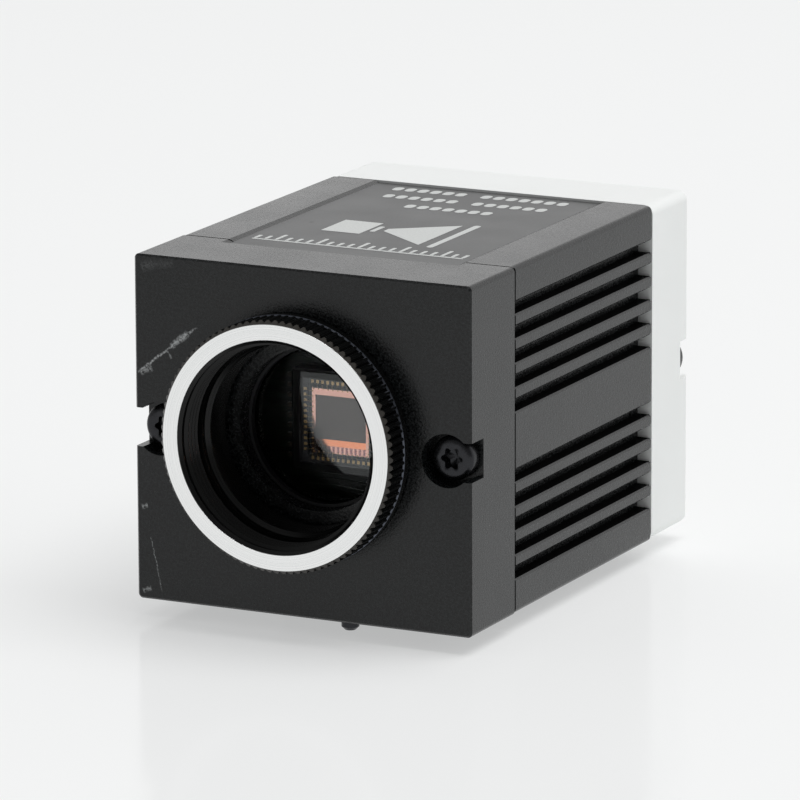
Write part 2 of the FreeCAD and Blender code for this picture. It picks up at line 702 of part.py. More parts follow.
# ---- Rear cover ----
def rear_cover():
    cover = rounded_box(half_housing, y_cover_front, y_cover_rear, z_bottom, z_top, COVER_RADIUS)
    rim = [e for e in cover.Edges if abs(e.BoundBox.YMin - y_cover_rear) < NEAR]
    cover = cover.makeFillet(COVER_RADIUS, rim)
    inner = cavity(half_housing - COVER_WALL, y_cover_front, y_cover_inner,
                   z_bottom + COVER_WALL, z_top - COVER_WALL)
    cover = cover.cut(inner)
    y_pocket = y_cover_rear - REAR_POCKET_DEPTH
    for spot in screw_spots:
        cover = cover.cut(screw_pocket(spot, y_pocket, y_cover_rear))
        cover = cover.cut(rod(spot, SCREW_RADIUS + SCREW_CLEARANCE, y_cover_front, y_pocket))
    for spot in (lan_spot, data_spot, power_spot):
        cover = cover.cut(rod(spot, M12_NECK_RADIUS + M12_NECK_CLEARANCE, y_cover_inner, y_cover_rear))
    for spot in guide_spots:
        cover = cover.cut(rod(spot, GUIDE_RADIUS + GUIDE_CLEARANCE, y_cover_inner, y_cover_rear))
    return cover


# ---- Long screws: domed cap heads that sit in the side pockets ----
def long_screw(spot, y_seat, towards):
    """towards is +1 when the shank runs to the rear and -1 when it runs to the front."""
    height = SCREW_HEAD_HEIGHT
    head = [(0, 0), (SCREW_HEAD_RADIUS, 0), (SCREW_HEAD_RADIUS, -(height - SCREW_DOME))]
    head += [(SCREW_HEAD_RADIUS - SCREW_DOME, -height), (0, -height)]
    placed = [(radius, y_seat + towards * y) for radius, y in head]
    socket_floor = y_seat - towards * (height - SOCKET_DEPTH)
    socket = sorted((socket_floor, y_seat - towards * height))
    shank = sorted((y_seat, y_seat + towards * SCREW_REACH))
    screw = turned(spot, placed).cut(prism(hexagon(spot, SOCKET_FLATS, SOCKET_TURN), *socket))
    return screw.fuse(rod(spot, SCREW_RADIUS, *shank))


def front_screws():
    return [long_screw(spot, y_block_front + FRONT_POCKET_DEPTH, 1) for spot in screw_spots]


def rear_screws():
    return [long_screw(spot, y_cover_rear - REAR_POCKET_DEPTH, -1) for spot in screw_spots]


# ---- Label film in the top channel ----
def label_film():
    half = CHANNEL_WIDTH / 2 - CHANNEL_SLOPE - FILM_MARGIN
    y0 = y_block_rear - RAMP_LAND
    return box(-half, half, y0, y_housing_rear - FILM_MARGIN, z_channel, z_channel + FILM_THICKNESS)


# ---- Round M12 sockets ----
def socket_shell(spot):
    """Nickel-plated shell: flange and coupling thread outside, neck through the cover."""
    y_thread = y_flange_back + M12_FLANGE_THICKNESS
    profile = [(0, y_socket_back), (M12_NECK_RADIUS, y_socket_back), (M12_NECK_RADIUS, y_flange_back)]
    profile += [(M12_FLANGE_RADIUS, y_flange_back), (M12_FLANGE_RADIUS, y_thread)]
    profile += [(M12_RADIUS, y_thread), (M12_RADIUS, y_socket_rim - EDGE_BREAK)]
    profile += [(M12_RADIUS - EDGE_BREAK, y_socket_rim), (0, y_socket_rim)]
    return turned(spot, profile).cut(rod(spot, M12_CUP_RADIUS, y_socket_back, y_socket_rim))


def socket_seal(spot):
    ring = rod(spot, M12_FLANGE_RADIUS - EDGE_BREAK, y_cover_rear, y_flange_back)
    return ring.cut(rod(spot, M12_NECK_RADIUS + M12_NECK_CLEARANCE, y_cover_rear, y_flange_back))


def socket_nut(spot):
    y0 = y_cover_inner - M12_NUT_HEIGHT
    nut = prism(hexagon(spot, M12_NUT_FLATS, M12_NUT_TURN), y0, y_cover_inner)
    return nut.cut(rod(spot, M12_NECK_RADIUS + THREAD_CLEARANCE, y0, y_cover_inner))


def socket_insert(spot, places, female):
    """Plastic contact carrier: flush with the rim when female, at the cup's floor when male."""
    y_face = y_socket_rim - (SOCKET_FACE_BACK if female else M12_CUP_DEPTH)
    insert = rod(spot, M12_CUP_RADIUS - INSERT_CLEARANCE, y_socket_back, y_face)
    for place in places:
        insert = insert.cut(rod(place, CONTACT_HOLE_RADIUS, y_socket_back, y_face))
    return insert


def socket_contacts(places, female):
    """Contacts from the rear board to the mating face."""
    y0 = y_connector_board + BOARD_THICKNESS
    y1 = y_socket_rim - (M12_CUP_DEPTH if female else CONTACT_STANDOFF)
    return [rod(place, CONTACT_RADIUS, y0, y1) for place in places]


def save_socket(name, spot, places, female):
    save(name + "_socket_shell", socket_shell(spot))
    save(name + "_socket_seal", socket_seal(spot))
    save(name + "_socket_nut", socket_nut(spot))
    save(name + "_socket_insert", socket_insert(spot, places, female))
    save(name + "_socket_contacts", *socket_contacts(places, female))


# ---- Status lights ----
def light_guides():
    y0 = y_connector_board + BOARD_THICKNESS + LED_HEIGHT + GUIDE_LIFT
    return [rod(spot, GUIDE_RADIUS, y0, y_cover_rear) for spot in guide_spots]


def status_lights():
    y0 = y_connector_board + BOARD_THICKNESS
    return [chip(x, z, LED_SIZE, LED_SIZE / 2, y0, y0 + LED_HEIGHT) for x, z in guide_spots]


# ---- Write every node ----
os.makedirs("parts", exist_ok=True)
save("front_block", front_block())
save("stop_stud", stop_stud())
save("mount_ring", mount_ring())
save("filter_glass", filter_glass())
save("filter_retainer", filter_retainer())
save("front_gasket", gasket(y_block_rear))
save("housing", housing())
save("label_film", label_film())
save("front_screws", *front_screws())
save("rear_gasket", gasket(y_housing_rear))
save("rear_cover", rear_cover())
save("rear_screws", *rear_screws())
save("sensor_package", sensor_package())
save("sensor_die", sensor_die())
save("sensor_window", sensor_window())
save("sensor_board", board(y_sensor_board))
save("sensor_board_parts", *sensor_board_parts())
save("processor_board", board(y_processor_board))
save("processor_chip", processor_chip())
save("thermal_pad", thermal_pad())
save("heat_spreader", heat_spreader())
save("memory_chips", *memory_chips())
save("power_board", board(y_power_board))
save("inductors", *inductors())
save("power_capacitors", *power_capacitors())
save("connector_board", board(y_connector_board))
save("network_transformer", network_transformer())
save("board_spacers", *spacers())
save("board_screws", *board_screws())
save("stacking_plugs", *stacking_plugs())
save("stacking_sockets", *stacking_sockets())
save("light_guides", *light_guides())
save("status_lights", *status_lights())
lan_places = around(lan_spot, NETWORK_PIN_RADIUS, NETWORK_CONTACTS, NETWORK_TURN)
save_socket("lan", lan_spot, lan_places, True)
data_places = around(data_spot, NETWORK_PIN_RADIUS, NETWORK_CONTACTS, NETWORK_TURN) + [data_spot]
save_socket("data", data_spot, data_places, True)
power_places = around(power_spot, POWER_PIN_RADIUS, POWER_CONTACTS, POWER_TURN)
power_places += around(power_spot, POWER_INNER_RADIUS, POWER_INNER_CONTACTS, POWER_TURN)
save_socket("power", power_spot, power_places, False)
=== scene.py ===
"""Looks of a box-shaped C-mount machine vision camera, in the order in which it is put together.

Shapes are worked out in millimetres in the part's own frame, and become metres when a piece is made.
+Z is up, -Y is the way the camera looks, +X is to the right seen from the lens side.
"""
import bpy
import bmesh
import math
from mathutils import Matrix, Vector


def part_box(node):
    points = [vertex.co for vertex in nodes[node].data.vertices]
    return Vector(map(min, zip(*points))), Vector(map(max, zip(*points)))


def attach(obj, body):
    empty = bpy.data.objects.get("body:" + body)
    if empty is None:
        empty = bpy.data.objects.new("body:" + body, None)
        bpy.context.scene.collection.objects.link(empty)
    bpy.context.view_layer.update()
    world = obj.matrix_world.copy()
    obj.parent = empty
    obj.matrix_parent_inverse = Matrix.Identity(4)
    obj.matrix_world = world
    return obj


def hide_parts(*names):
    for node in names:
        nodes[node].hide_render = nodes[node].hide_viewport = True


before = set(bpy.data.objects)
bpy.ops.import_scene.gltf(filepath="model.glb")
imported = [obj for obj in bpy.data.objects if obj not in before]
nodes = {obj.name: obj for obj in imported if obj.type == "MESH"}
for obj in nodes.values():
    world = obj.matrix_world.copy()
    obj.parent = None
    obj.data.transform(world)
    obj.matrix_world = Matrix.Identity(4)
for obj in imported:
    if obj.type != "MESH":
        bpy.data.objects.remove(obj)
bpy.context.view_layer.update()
MM = 0.001

# ---- Viewpoint ----
# A long lens a little under a metre away, from the front right and slightly above.
# The three angles and the place are the whole set-up; nothing is shifted or blurred.
VIEW_PLACE = (384.744, -783.860, 226.610)
VIEW_TURN = 26.305           # degrees round to the right
VIEW_DOWN = 13.167           # degrees below the horizon
VIEW_ROLL = -0.217
VIEW_LENS = 326.817          # millimetres on a 36 mm wide picture

camera_data = bpy.data.cameras.new("viewpoint")
camera_data.sensor_width = 36.0
camera_data.lens = VIEW_LENS
camera_data.clip_start = 0.05
camera_data.clip_end = 20.0
camera = bpy.data.objects.new("viewpoint", camera_data)
bpy.context.scene.collection.objects.link(camera)
view_turned = Matrix.Rotation(math.radians(VIEW_TURN), 4, "Z")
view_tilted = Matrix.Rotation(math.radians(90 - VIEW_DOWN), 4, "X")
view_rolled = Matrix.Rotation(math.radians(VIEW_ROLL), 4, "Z")
camera.matrix_world = Matrix.Translation(Vector(VIEW_PLACE) * MM) @ view_turned @ view_tilted @ view_rolled
bpy.context.scene.camera = camera
bpy.context.scene.view_settings.view_transform = "Standard"


# ---- Table top and light tent ----
# A white laminate table, faintly glossy, in an even tent of white cloth. One large soft lamp stands
# behind and to the right, so that the shadow falls softly to the left. None of it is part of the object.
TABLE_WHITE = "F8F9F9"
TENT_WHITE = "FFFFFF"
TENT_FRONT = 0.25            # light from the side of the viewpoint
TENT_ABOVE = 0.42
TENT_LOW = 1.0               # low band behind the object and to its right
TENT_LOW_TURN = 25           # degrees from straight behind, to the right
FRONT_FADE = (-0.6, 0.1)     # cosines of the angle from straight behind
BEHIND_FADE = (0.0, 0.55)
BAND_FADE = (0.75, 0.4)      # heights at which the low band fades out and is full
TABLE_GLOSS = 0.065
TABLE_BLUR = 0.13            # roughness of the table's reflection
TABLE_GLOW = 0.52            # share of plain white that lifts the table in the picture
TABLE_MIRRORED = 0.75        # the same where a glossy surface mirrors the table
TABLE_REACH = 6.0            # metres
LAMP_PLACE = (0.38, 0.13, 1.3)
LAMP_SIZE = 0.9
LAMP_POWER = 10.6


def linear(hex_colour):
    """An sRGB hex colour as the linear RGBA that a shader takes."""
    shares = [int(hex_colour[i:i + 2], 16) / 255 for i in (0, 2, 4)]
    return tuple(s / 12.92 if s <= 0.04045 else ((s + 0.055) / 1.055) ** 2.4 for s in shares) + (1.0,)


def add_node(tree, kind, inputs=(), output=0, **settings):
    """Add a shader node and give back its output; each input is a value or another node's output."""
    node = tree.nodes.new("ShaderNode" + kind)
    for name, setting in settings.items():
        setattr(node, name, setting)
    pairs = inputs.items() if isinstance(inputs, dict) else enumerate(inputs)
    for key, value in pairs:
        if isinstance(value, bpy.types.NodeSocket):
            tree.links.new(value, node.inputs[key])
        else:
            node.inputs[key].default_value = value
    return node.outputs[output]


def new_material(name, sockets):
    """A named material, its node tree and its principled shader with these constant socket values."""
    material = bpy.data.materials.new(name)
    material.use_nodes = True
    shader = material.node_tree.nodes["Principled BSDF"]
    for socket, value in sockets.items():
        shader.inputs[socket].default_value = value
    return material, material.node_tree, shader


def table_laminate():
    """White melamine laminate: an even white with a weak, slightly blurred reflection."""
    sockets = {"Base Color": linear(TABLE_WHITE), "Roughness": 1.0, "Specular IOR Level": 0.0}
    material, tree, shader = new_material("white_laminate", sockets)
    glow = add_node(tree, "Emission", {"Color": linear(TABLE_WHITE), "Strength": 1.0})
    path = add_node(tree, "LightPath").node.outputs
    direct = (path["Is Camera Ray"], path["Is Transmission Ray"])
    seen = add_node(tree, "Math", direct, operation="MAXIMUM")
    seen = add_node(tree, "Math", (seen, TABLE_GLOW), operation="MULTIPLY")
    mirrored = add_node(tree, "Math", (path["Is Glossy Ray"], TABLE_MIRRORED), operation="MULTIPLY")
    share = add_node(tree, "Math", (seen, mirrored), operation="MAXIMUM")
    lifted = add_node(tree, "MixShader", (share, shader.outputs[0], glow))
    gloss = add_node(tree, "BsdfGlossy", {"Color": linear(TENT_WHITE), "Roughness": TABLE_BLUR})
    mixed = add_node(tree, "MixShader", (TABLE_GLOSS, lifted, gloss))
    tree.links.new(mixed, tree.nodes["Material Output"].inputs["Surface"])
    return material


def tent_light(tree):
    """Strength by direction: dim from the front, plain from above, strong in a low band behind."""
    way = add_node(tree, "TexCoord", output="Generated")

    def ramp(angle, fade, strengths):
        """A smooth change of strength along the level direction at this angle from straight behind."""
        turn = math.radians(angle)
        axis = (math.sin(turn), math.cos(turn), 0)
        along = add_node(tree, "VectorMath", (way, axis), "Value", operation="DOT_PRODUCT")
        return add_node(tree, "MapRange", (along, *fade, *strengths), interpolation_type="SMOOTHSTEP")

    base = ramp(-VIEW_TURN, FRONT_FADE, (TENT_FRONT, TENT_ABOVE))
    behind = ramp(TENT_LOW_TURN, BEHIND_FADE, (0.0, TENT_LOW - TENT_ABOVE))
    height = add_node(tree, "SeparateXYZ", (way,), "Z")
    band = add_node(tree, "MapRange", (height, *BAND_FADE), interpolation_type="SMOOTHSTEP")
    extra = add_node(tree, "Math", (behind, band), operation="MULTIPLY")
    return add_node(tree, "Math", (base, extra), operation="ADD")


table_mesh = bmesh.new()
bmesh.ops.create_grid(table_mesh, x_segments=1, y_segments=1, size=TABLE_REACH)
table_data = bpy.data.meshes.new("table_top")
table_mesh.to_mesh(table_data)
table_mesh.free()
table = bpy.data.objects.new("table_top", table_data)
bpy.context.scene.collection.objects.link(table)
table_data.materials.append(table_laminate())

tent = bpy.data.worlds.new("light_tent")
tent.use_nodes = True
tent.node_tree.nodes["Background"].inputs["Color"].default_value = linear(TENT_WHITE)
tent.node_tree.links.new(tent_light(tent.node_tree), tent.node_tree.nodes["Background"].inputs["Strength"])
bpy.context.scene.world = tent

lamp_data = bpy.data.lights.new("soft_lamp", "AREA")
lamp_data.shape = "SQUARE"
lamp_data.size = LAMP_SIZE
lamp_data.energy = LAMP_POWER
lamp = bpy.data.objects.new("soft_lamp", lamp_data)
bpy.context.scene.collection.objects.link(lamp)
lamp.location = LAMP_PLACE
lamp.rotation_euler = Vector(LAMP_PLACE).to_track_quat("Z", "Y").to_euler()


# ---- Sensor board and its small parts ----
# A glass-epoxy board with dark green solder mask over copper tracks, pressed against the front block.
# Small ceramic capacitors and resistors with tinned ends stand in two columns beside the sensor.
MASK_GREEN = "050A08"
MASK_TRACK = "09140F"
TRACK_PITCH = 0.8            # millimetres between tracks
TRACK_SPAN = (0.55, 0.7)     # the wave's values between which a track's flank rises
CERAMIC_TAN = "3C3127"
TINNED_END = "45433F"
PART_HALF = 0.5              # half the length of a small part
BARE_HALF = 0.28             # half the length between its tinned ends
NOISE_SPAN = (0.3, 0.7)      # nearly all of a noise texture lies between these values


def corners(node):
    """Lowest and highest corner of a CAD node, in millimetres."""
    low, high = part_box(node)
    return low / MM, high / MM


def finish(material, *names):
    """Give CAD nodes their material."""
    for name in names:
        for slot in nodes[name].material_slots:
            slot.material = material


def per_mm(size):
    """Texture scale for a pattern whose features are this many millimetres across."""
    return 1.0 / (size * MM)


def within(tree, value, low, high, soft=0.02):
    """1 where value lies between low and high millimetres, fading over soft at both ends."""
    middle = (low + high) / 2 * MM
    half = (high - low) / 2 * MM
    offset = add_node(tree, "Math", (value, middle), operation="SUBTRACT")
    distance = add_node(tree, "Math", (offset,), operation="ABSOLUTE")
    return add_node(tree, "MapRange", (distance, half + soft * MM / 2, half - soft * MM / 2))


def surface(tree, shader, colour, rough=None, relief=None, depth=0.0, metal=None):
    """Feed a surface's colour, roughness and share of metal, and a fine relief in millimetres."""
    feeds = {"Base Color": colour, "Roughness": rough, "Metallic": metal}
    for socket, output in feeds.items():
        if output is not None:
            tree.links.new(output, shader.inputs[socket])
    if depth:
        bump = add_node(tree, "Bump", {"Height": relief, "Strength": 1.0, "Distance": depth * MM})
        tree.links.new(bump, shader.inputs["Normal"])


def solder_mask():
    """Solder mask over etched copper: dark green, lighter along the tracks, half glossy."""
    material, tree, shader = new_material("solder_mask_board", {"Roughness": 0.35, "IOR": 1.5})
    place = add_node(tree, "TexCoord", output="Object")
    wave = {"Vector": place, "Scale": per_mm(TRACK_PITCH) / math.tau, "Distortion": 3.0, "Detail": 1.0}
    tracks = add_node(tree, "TexWave", wave, "Fac", bands_direction="Z")
    raised = add_node(tree, "MapRange", (tracks, *TRACK_SPAN))
    # a Mix takes its share at input 0 and its two colours at 6 and 7, and gives the colour at output 2
    tones = {0: raised, 6: linear(MASK_GREEN), 7: linear(MASK_TRACK)}
    colour = add_node(tree, "Mix", tones, 2, data_type="RGBA")
    surface(tree, shader, colour, relief=raised, depth=0.03)
    return material


def tinned_ceramic(middles):
    """Barium titanate ceramic with burnt-on tinned ends: matt tan, with bright metal caps."""
    material, tree, shader = new_material("tinned_ceramic", {"IOR": 1.5})
    place = add_node(tree, "TexCoord", output="Object")
    axes = add_node(tree, "SeparateXYZ", (place,)).node.outputs
    bodies = [within(tree, axes["X"], middle - BARE_HALF, middle + BARE_HALF) for middle in middles]
    ceramic = add_node(tree, "Math", bodies, operation="MAXIMUM")
    tinned = add_node(tree, "Math", (1.0, ceramic), operation="SUBTRACT")
    tones = {0: ceramic, 6: linear(TINNED_END), 7: linear(CERAMIC_TAN)}
    colour = add_node(tree, "Mix", tones, 2, data_type="RGBA")
    rough = add_node(tree, "MapRange", (ceramic, 0.0, 1.0, 0.3, 0.6))
    grain = add_node(tree, "TexNoise", {"Vector": place, "Scale": per_mm(0.15)})
    surface(tree, shader, colour, rough, grain, 0.02, tinned)
    return material


board_green = solder_mask()
finish(board_green, "sensor_board", "processor_board", "power_board", "connector_board")
parts_low, parts_high = corners("sensor_board_parts")
part_columns = (parts_low.x + PART_HALF, parts_high.x - PART_HALF)
finish(tinned_ceramic(part_columns), "sensor_board_parts")

# ---- Image sensor ----
# A dark fired-alumina carrier with the silicon die glued to its floor. Gold wires run from pads along
# the die's edges to gold fingers on the carrier's ledge, and a glass lid is glued over the rim.
CERAMIC_DARK = "2A2528"
CERAMIC_GRAIN = "383236"
DIE_DARK = "1C1A1E"
ARRAY_GREY = "4B4544"
METAL_SALMON = "DCA89A"
METAL_ORANGE = "F09973"
METAL_PURPLE = "8A5C62"
GOLD = "B09062"
GOLD_PALE = "C8A878"
LID_TINT = "FDFEFE"
LID_COATING = "FFFFFF"
ARRAY_WIDTH = 6.8
ARRAY_HEIGHT = 5.45
ARRAY_SHIFT = 0.3            # light-sensitive array from the optical axis
COLUMN_LOGIC = 0.8           # orange band under the array
READOUT_LOGIC = 0.85         # purple band under that
READOUT_PITCH = 0.3
FINGERS_PER_SIDE = 12
FINGER_PITCH = 0.685
FINGER_RING = 4.76           # fingers from the carrier's middle
FINGER_LENGTH = 0.42
FINGER_WIDTH = 0.34
LEDGE_ABOVE_FLOOR = 0.45
WIRE_RADIUS = 0.022          # drawn thicker than the real 0.0125 mm, so that it shows
WIRE_LOOP = 0.22
WIRE_SPANS = 8
DIE_RIM = 0.12               # bare silicon round the metal layers
DIE_PAD = 0.16
PAD_INSET = 0.2              # pads from the die's edge
PAD_SPREAD = 0.95            # the die's pads stand closer together than the fingers
PAD_HEIGHT = 0.02
FINGER_HEIGHT = 0.03
WIRE_STOP = 0.1              # wire's end from the middle of a finger


def make_piece(name, mesh, material, body="camera", sharp=32):
    """A piece from a bmesh in millimetres; edges of more than sharp degrees stay crisp."""
    bmesh.ops.remove_doubles(mesh, verts=mesh.verts, dist=1e-5)
    bmesh.ops.recalc_face_normals(mesh, faces=mesh.faces)
    bmesh.ops.scale(mesh, vec=(MM, MM, MM), verts=mesh.verts)
    data = bpy.data.meshes.new(name)
    mesh.to_mesh(data)
    mesh.free()
    data.shade_smooth()
    data.set_sharp_from_angle(angle=math.radians(sharp))
    data.materials.append(material)
    piece = bpy.data.objects.new(name, data)
    bpy.context.scene.collection.objects.link(piece)
    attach(piece, body)
    return piece


def patchy_material(name, sockets, colours, size, rough, depth=0.0, detail=3.0):
    """A material whose colour, gloss and fine relief vary together in patches this many mm across."""
    material, tree, shader = new_material(name, sockets)
    place = add_node(tree, "TexCoord", output="Object")
    patches = add_node(tree, "TexNoise", {"Vector": place, "Scale": per_mm(size), "Detail": detail})
    first, second = (linear(colour) for colour in colours)
    colour = add_node(tree, "Mix", {0: patches, 6: first, 7: second}, 2, data_type="RGBA")
    gloss = add_node(tree, "MapRange", (patches, *NOISE_SPAN, *rough))
    surface(tree, shader, colour, gloss, patches, depth)
    return material


def in_rectangle(tree, axes, x_span, z_span):
    """1 inside a rectangle seen along Y, with its spans in millimetres."""
    sides = (within(tree, axes["X"], *x_span), within(tree, axes["Z"], *z_span))
    return add_node(tree, "Math", sides, operation="MULTIPLY")


def patterned_silicon(low, high):
    """Polished silicon under metal layers: a grey mirror, with warm bands of logic under it."""
    material, tree, shader = new_material("patterned_silicon", {"IOR": 1.5})
    place = add_node(tree, "TexCoord", output="Object")
    axes = add_node(tree, "SeparateXYZ", (place,)).node.outputs
    comb = {"Vector": place, "Scale": per_mm(READOUT_PITCH) / math.tau}
    teeth = add_node(tree, "TexWave", comb, "Fac", bands_direction="X")
    tones = {0: teeth, 6: linear(METAL_PURPLE), 7: linear(METAL_SALMON)}
    readout = add_node(tree, "Mix", tones, 2, data_type="RGBA")
    left = ring_x + ARRAY_SHIFT - ARRAY_WIDTH / 2
    across = (left, left + ARRAY_WIDTH)
    z_top = ring_z + ARRAY_HEIGHT / 2
    z_array = z_top - ARRAY_HEIGHT
    z_column = z_array - COLUMN_LOGIC
    bands = ((z_column, z_array, linear(METAL_ORANGE)), (z_column - READOUT_LOGIC, z_column, readout),
             (z_array, z_top, linear(ARRAY_GREY)))
    colour = linear(METAL_SALMON)
    # the last band is the light-sensitive array
    for z_low, z_high, paint in bands:
        band = in_rectangle(tree, axes, across, (z_low, z_high))
        colour = add_node(tree, "Mix", {0: band, 6: colour, 7: paint}, 2, data_type="RGBA")
    rim = ((low.x + DIE_RIM, high.x - DIE_RIM), (low.z + DIE_RIM, high.z - DIE_RIM))
    inner = in_rectangle(tree, axes, *rim)
    colour = add_node(tree, "Mix", {0: inner, 6: linear(DIE_DARK), 7: colour}, 2, data_type="RGBA")
    rough = add_node(tree, "MapRange", (band, 0.0, 1.0, 0.06, 0.12))
    surface(tree, shader, colour, rough, metal=inner)
    return material


def clear_glass(name, tint, coating):
    """Polished optical glass, clear with faint dust; the coating colour leaves a weak reflection."""
    sockets = {"Base Color": linear(tint), "Transmission Weight": 1.0, "IOR": 1.52}
    material, tree, shader = new_material(name, sockets)
    shader.inputs["Specular Tint"].default_value = linear(coating)
    place = add_node(tree, "TexCoord", output="Object")
    dust = add_node(tree, "TexNoise", {"Vector": place, "Scale": per_mm(0.5), "Detail": 4.0})
    rough = add_node(tree, "MapRange", (dust, 0.6, 0.8, 0.0, 0.03))
    tree.links.new(rough, shader.inputs["Roughness"])
    return material


def quarter_turned(point, quarter):
    """A point (along, out, y) on side number quarter of the carrier, in the part's frame."""
    along, out, y = point
    turned = Matrix.Rotation(quarter * math.pi / 2, 3, "Y") @ Vector((along, 0, out))
    return Vector((package_x + turned.x, y, package_z + turned.z))


def add_pad(mesh, quarter, along, out, size, y, height):
    """A thin rectangular pad; size is (width, length)."""
    made = bmesh.ops.create_cube(mesh, size=1.0)["verts"]
    bmesh.ops.scale(mesh, vec=(size[0], height, size[1]), verts=made)
    bmesh.ops.rotate(mesh, matrix=Matrix.Rotation(quarter * math.pi / 2, 3, "Y"), verts=made)
    bmesh.ops.translate(mesh, vec=quarter_turned((along, out, y - height / 2), quarter), verts=made)


def add_wire(mesh, points, radius):
    """A round wire with five sides through the points."""
    loops = []
    for i, point in enumerate(points):
        ahead = points[min(i + 1, len(points) - 1)] - points[max(i - 1, 0)]
        laid = Matrix.Translation(point) @ ahead.to_track_quat("Z", "Y").to_matrix().to_4x4()
        made = bmesh.ops.create_circle(mesh, segments=5, radius=radius, matrix=laid)
        loops.append({edge for vert in made["verts"] for edge in vert.link_edges})
    for first, second in zip(loops, loops[1:]):
        bmesh.ops.bridge_loops(mesh, edges=list(first | second))
    for end in (loops[0], loops[-1]):
        bmesh.ops.edgeloop_fill(mesh, edges=list(end))


ring_low, ring_high = corners("mount_ring")
ring_x = (ring_low.x + ring_high.x) / 2
ring_z = (ring_low.z + ring_high.z) / 2
die_low, die_high = corners("sensor_die")
package_low, package_high = corners("sensor_package")
package_x = (package_low.x + package_high.x) / 2
package_z = (package_low.z + package_high.z) / 2
# electroplated gold: warm, slightly uneven gloss
gold = patchy_material("gold_plate", {"Metallic": 1.0}, (GOLD, GOLD_PALE), 0.4, (0.22, 0.4), detail=2.0)
# dark fired alumina: matt, with a fine even grain
ceramic = patchy_material("fired_dark_alumina", {"IOR": 1.6}, (CERAMIC_DARK, CERAMIC_GRAIN), 0.12,
                          (0.45, 0.65), 0.008)
finish(ceramic, "sensor_package")
finish(patterned_silicon(die_low, die_high), "sensor_die")
finish(clear_glass("lid_glass", LID_TINT, LID_COATING), "sensor_window")

y_ledge = die_high.y - LEDGE_ABOVE_FLOOR
fingers = bmesh.new()
wires = bmesh.new()
die_half = ((die_high.x - die_low.x) / 2, (die_high.z - die_low.z) / 2)
for quarter in range(4):
    for number in range(FINGERS_PER_SIDE):
        along = (number - (FINGERS_PER_SIDE - 1) / 2) * FINGER_PITCH
        finger_size = (FINGER_WIDTH, FINGER_LENGTH)
        add_pad(fingers, quarter, along, FINGER_RING, finger_size, y_ledge, FINGER_HEIGHT)
        die_out = die_half[1 - quarter % 2] - PAD_INSET
        die_along = along * PAD_SPREAD
        add_pad(fingers, quarter, die_along, die_out, (DIE_PAD, DIE_PAD), die_low.y, PAD_HEIGHT)
        path = []
        for step in range(WIRE_SPANS + 1):
            share = step / WIRE_SPANS
            rise = WIRE_LOOP * math.sin(math.pi * share)
            y_wire = die_low.y + (y_ledge - die_low.y) * share - rise - WIRE_RADIUS
            reach = die_out + (FINGER_RING - WIRE_STOP - die_out) * share
            path.append(quarter_turned((die_along + (along - die_along) * share, reach, y_wire), quarter))
        add_wire(wires, path, WIRE_RADIUS)
make_piece("bond_fingers", fingers, gold)
make_piece("bond_wires", wires, gold)

# ---- Filter and its retaining ring ----
# An infra-red cut filter, a round plate of clear glass, lies on a shoulder in the block's bore.
# A thin blackened brass ring with a fine thread holds it down.
FILTER_TINT = "FCFEFE"
FILTER_COATING = "101014"
BLACKENED = ("101113", "1A1A1C")

finish(clear_glass("filter_glass", FILTER_TINT, FILTER_COATING), "filter_glass")
# chemically blackened brass: nearly matt black against stray light
sockets = {"IOR": 1.5, "Specular IOR Level": 0.35}
finish(patchy_material("blackened_brass", sockets, BLACKENED, 0.3, (0.35, 0.6)), "filter_retainer")

# ---- Front block ----
# Machined from solid aluminium, finely blasted and black anodised. The dyed oxide is a clear hard skin
# over black, so it shines only at a slant. Its face has a few scratches down to the metal.
OXIDE_BLACK = "020303"
OXIDE_WORN = "1D1F20"
# painted shade: near-black for the grooves' upper flanks and the strip along the seam to the block
PAINTED_SHADE_BLACK = "020202"
FLANK_ROUGH = 0.8
BARE_METAL = "C8CBCC"
BLAST_GRAIN = 0.3            # coarser than the real 0.05 mm, so that it shows
DYE_CLOUD = 7.0
SAND_SPAN = (0.4, 0.6)       # noise between which a grain goes from black to worn
SCRATCH_WANDER = 0.9         # length over which a scratch strays sideways
SCRATCH_WOBBLE = 0.12
SCRATCH_SPECKLE = 0.3        # size of the gaps in a scratch
SPECKLE_SPAN = (0.36, 0.56)
SCRATCH_REACH = 0.05         # behind the face
# start and end as (x, z), width and strength
FACE_SCRATCHES = (
    ((-22.1, 30.4), (-14.3, 36.4), 0.2, 0.9),
    ((-17.5, 34.0), (-15.3, 35.8), 0.5, 1.0),
    ((-21.8, 30.4), (-20.2, 31.1), 0.5, 0.6),
    ((-18.1, 33.4), (-17.5, 32.5), 0.2, 0.5),
    ((-20.6, 10.0), (-19.2, 3.5), 0.1, 0.5),
    ((-21.5, 43.4), (-19.9, 43.9), 0.9, 0.1),
    ((-20.4, 43.8), (-17.2, 44.2), 0.7, 0.06),
    ((-21.8, 3.2), (-20.6, 3.6), 0.4, 0.6),
    ((-21.8, 13.7), (-21.0, 13.9), 0.4, 0.6),
)


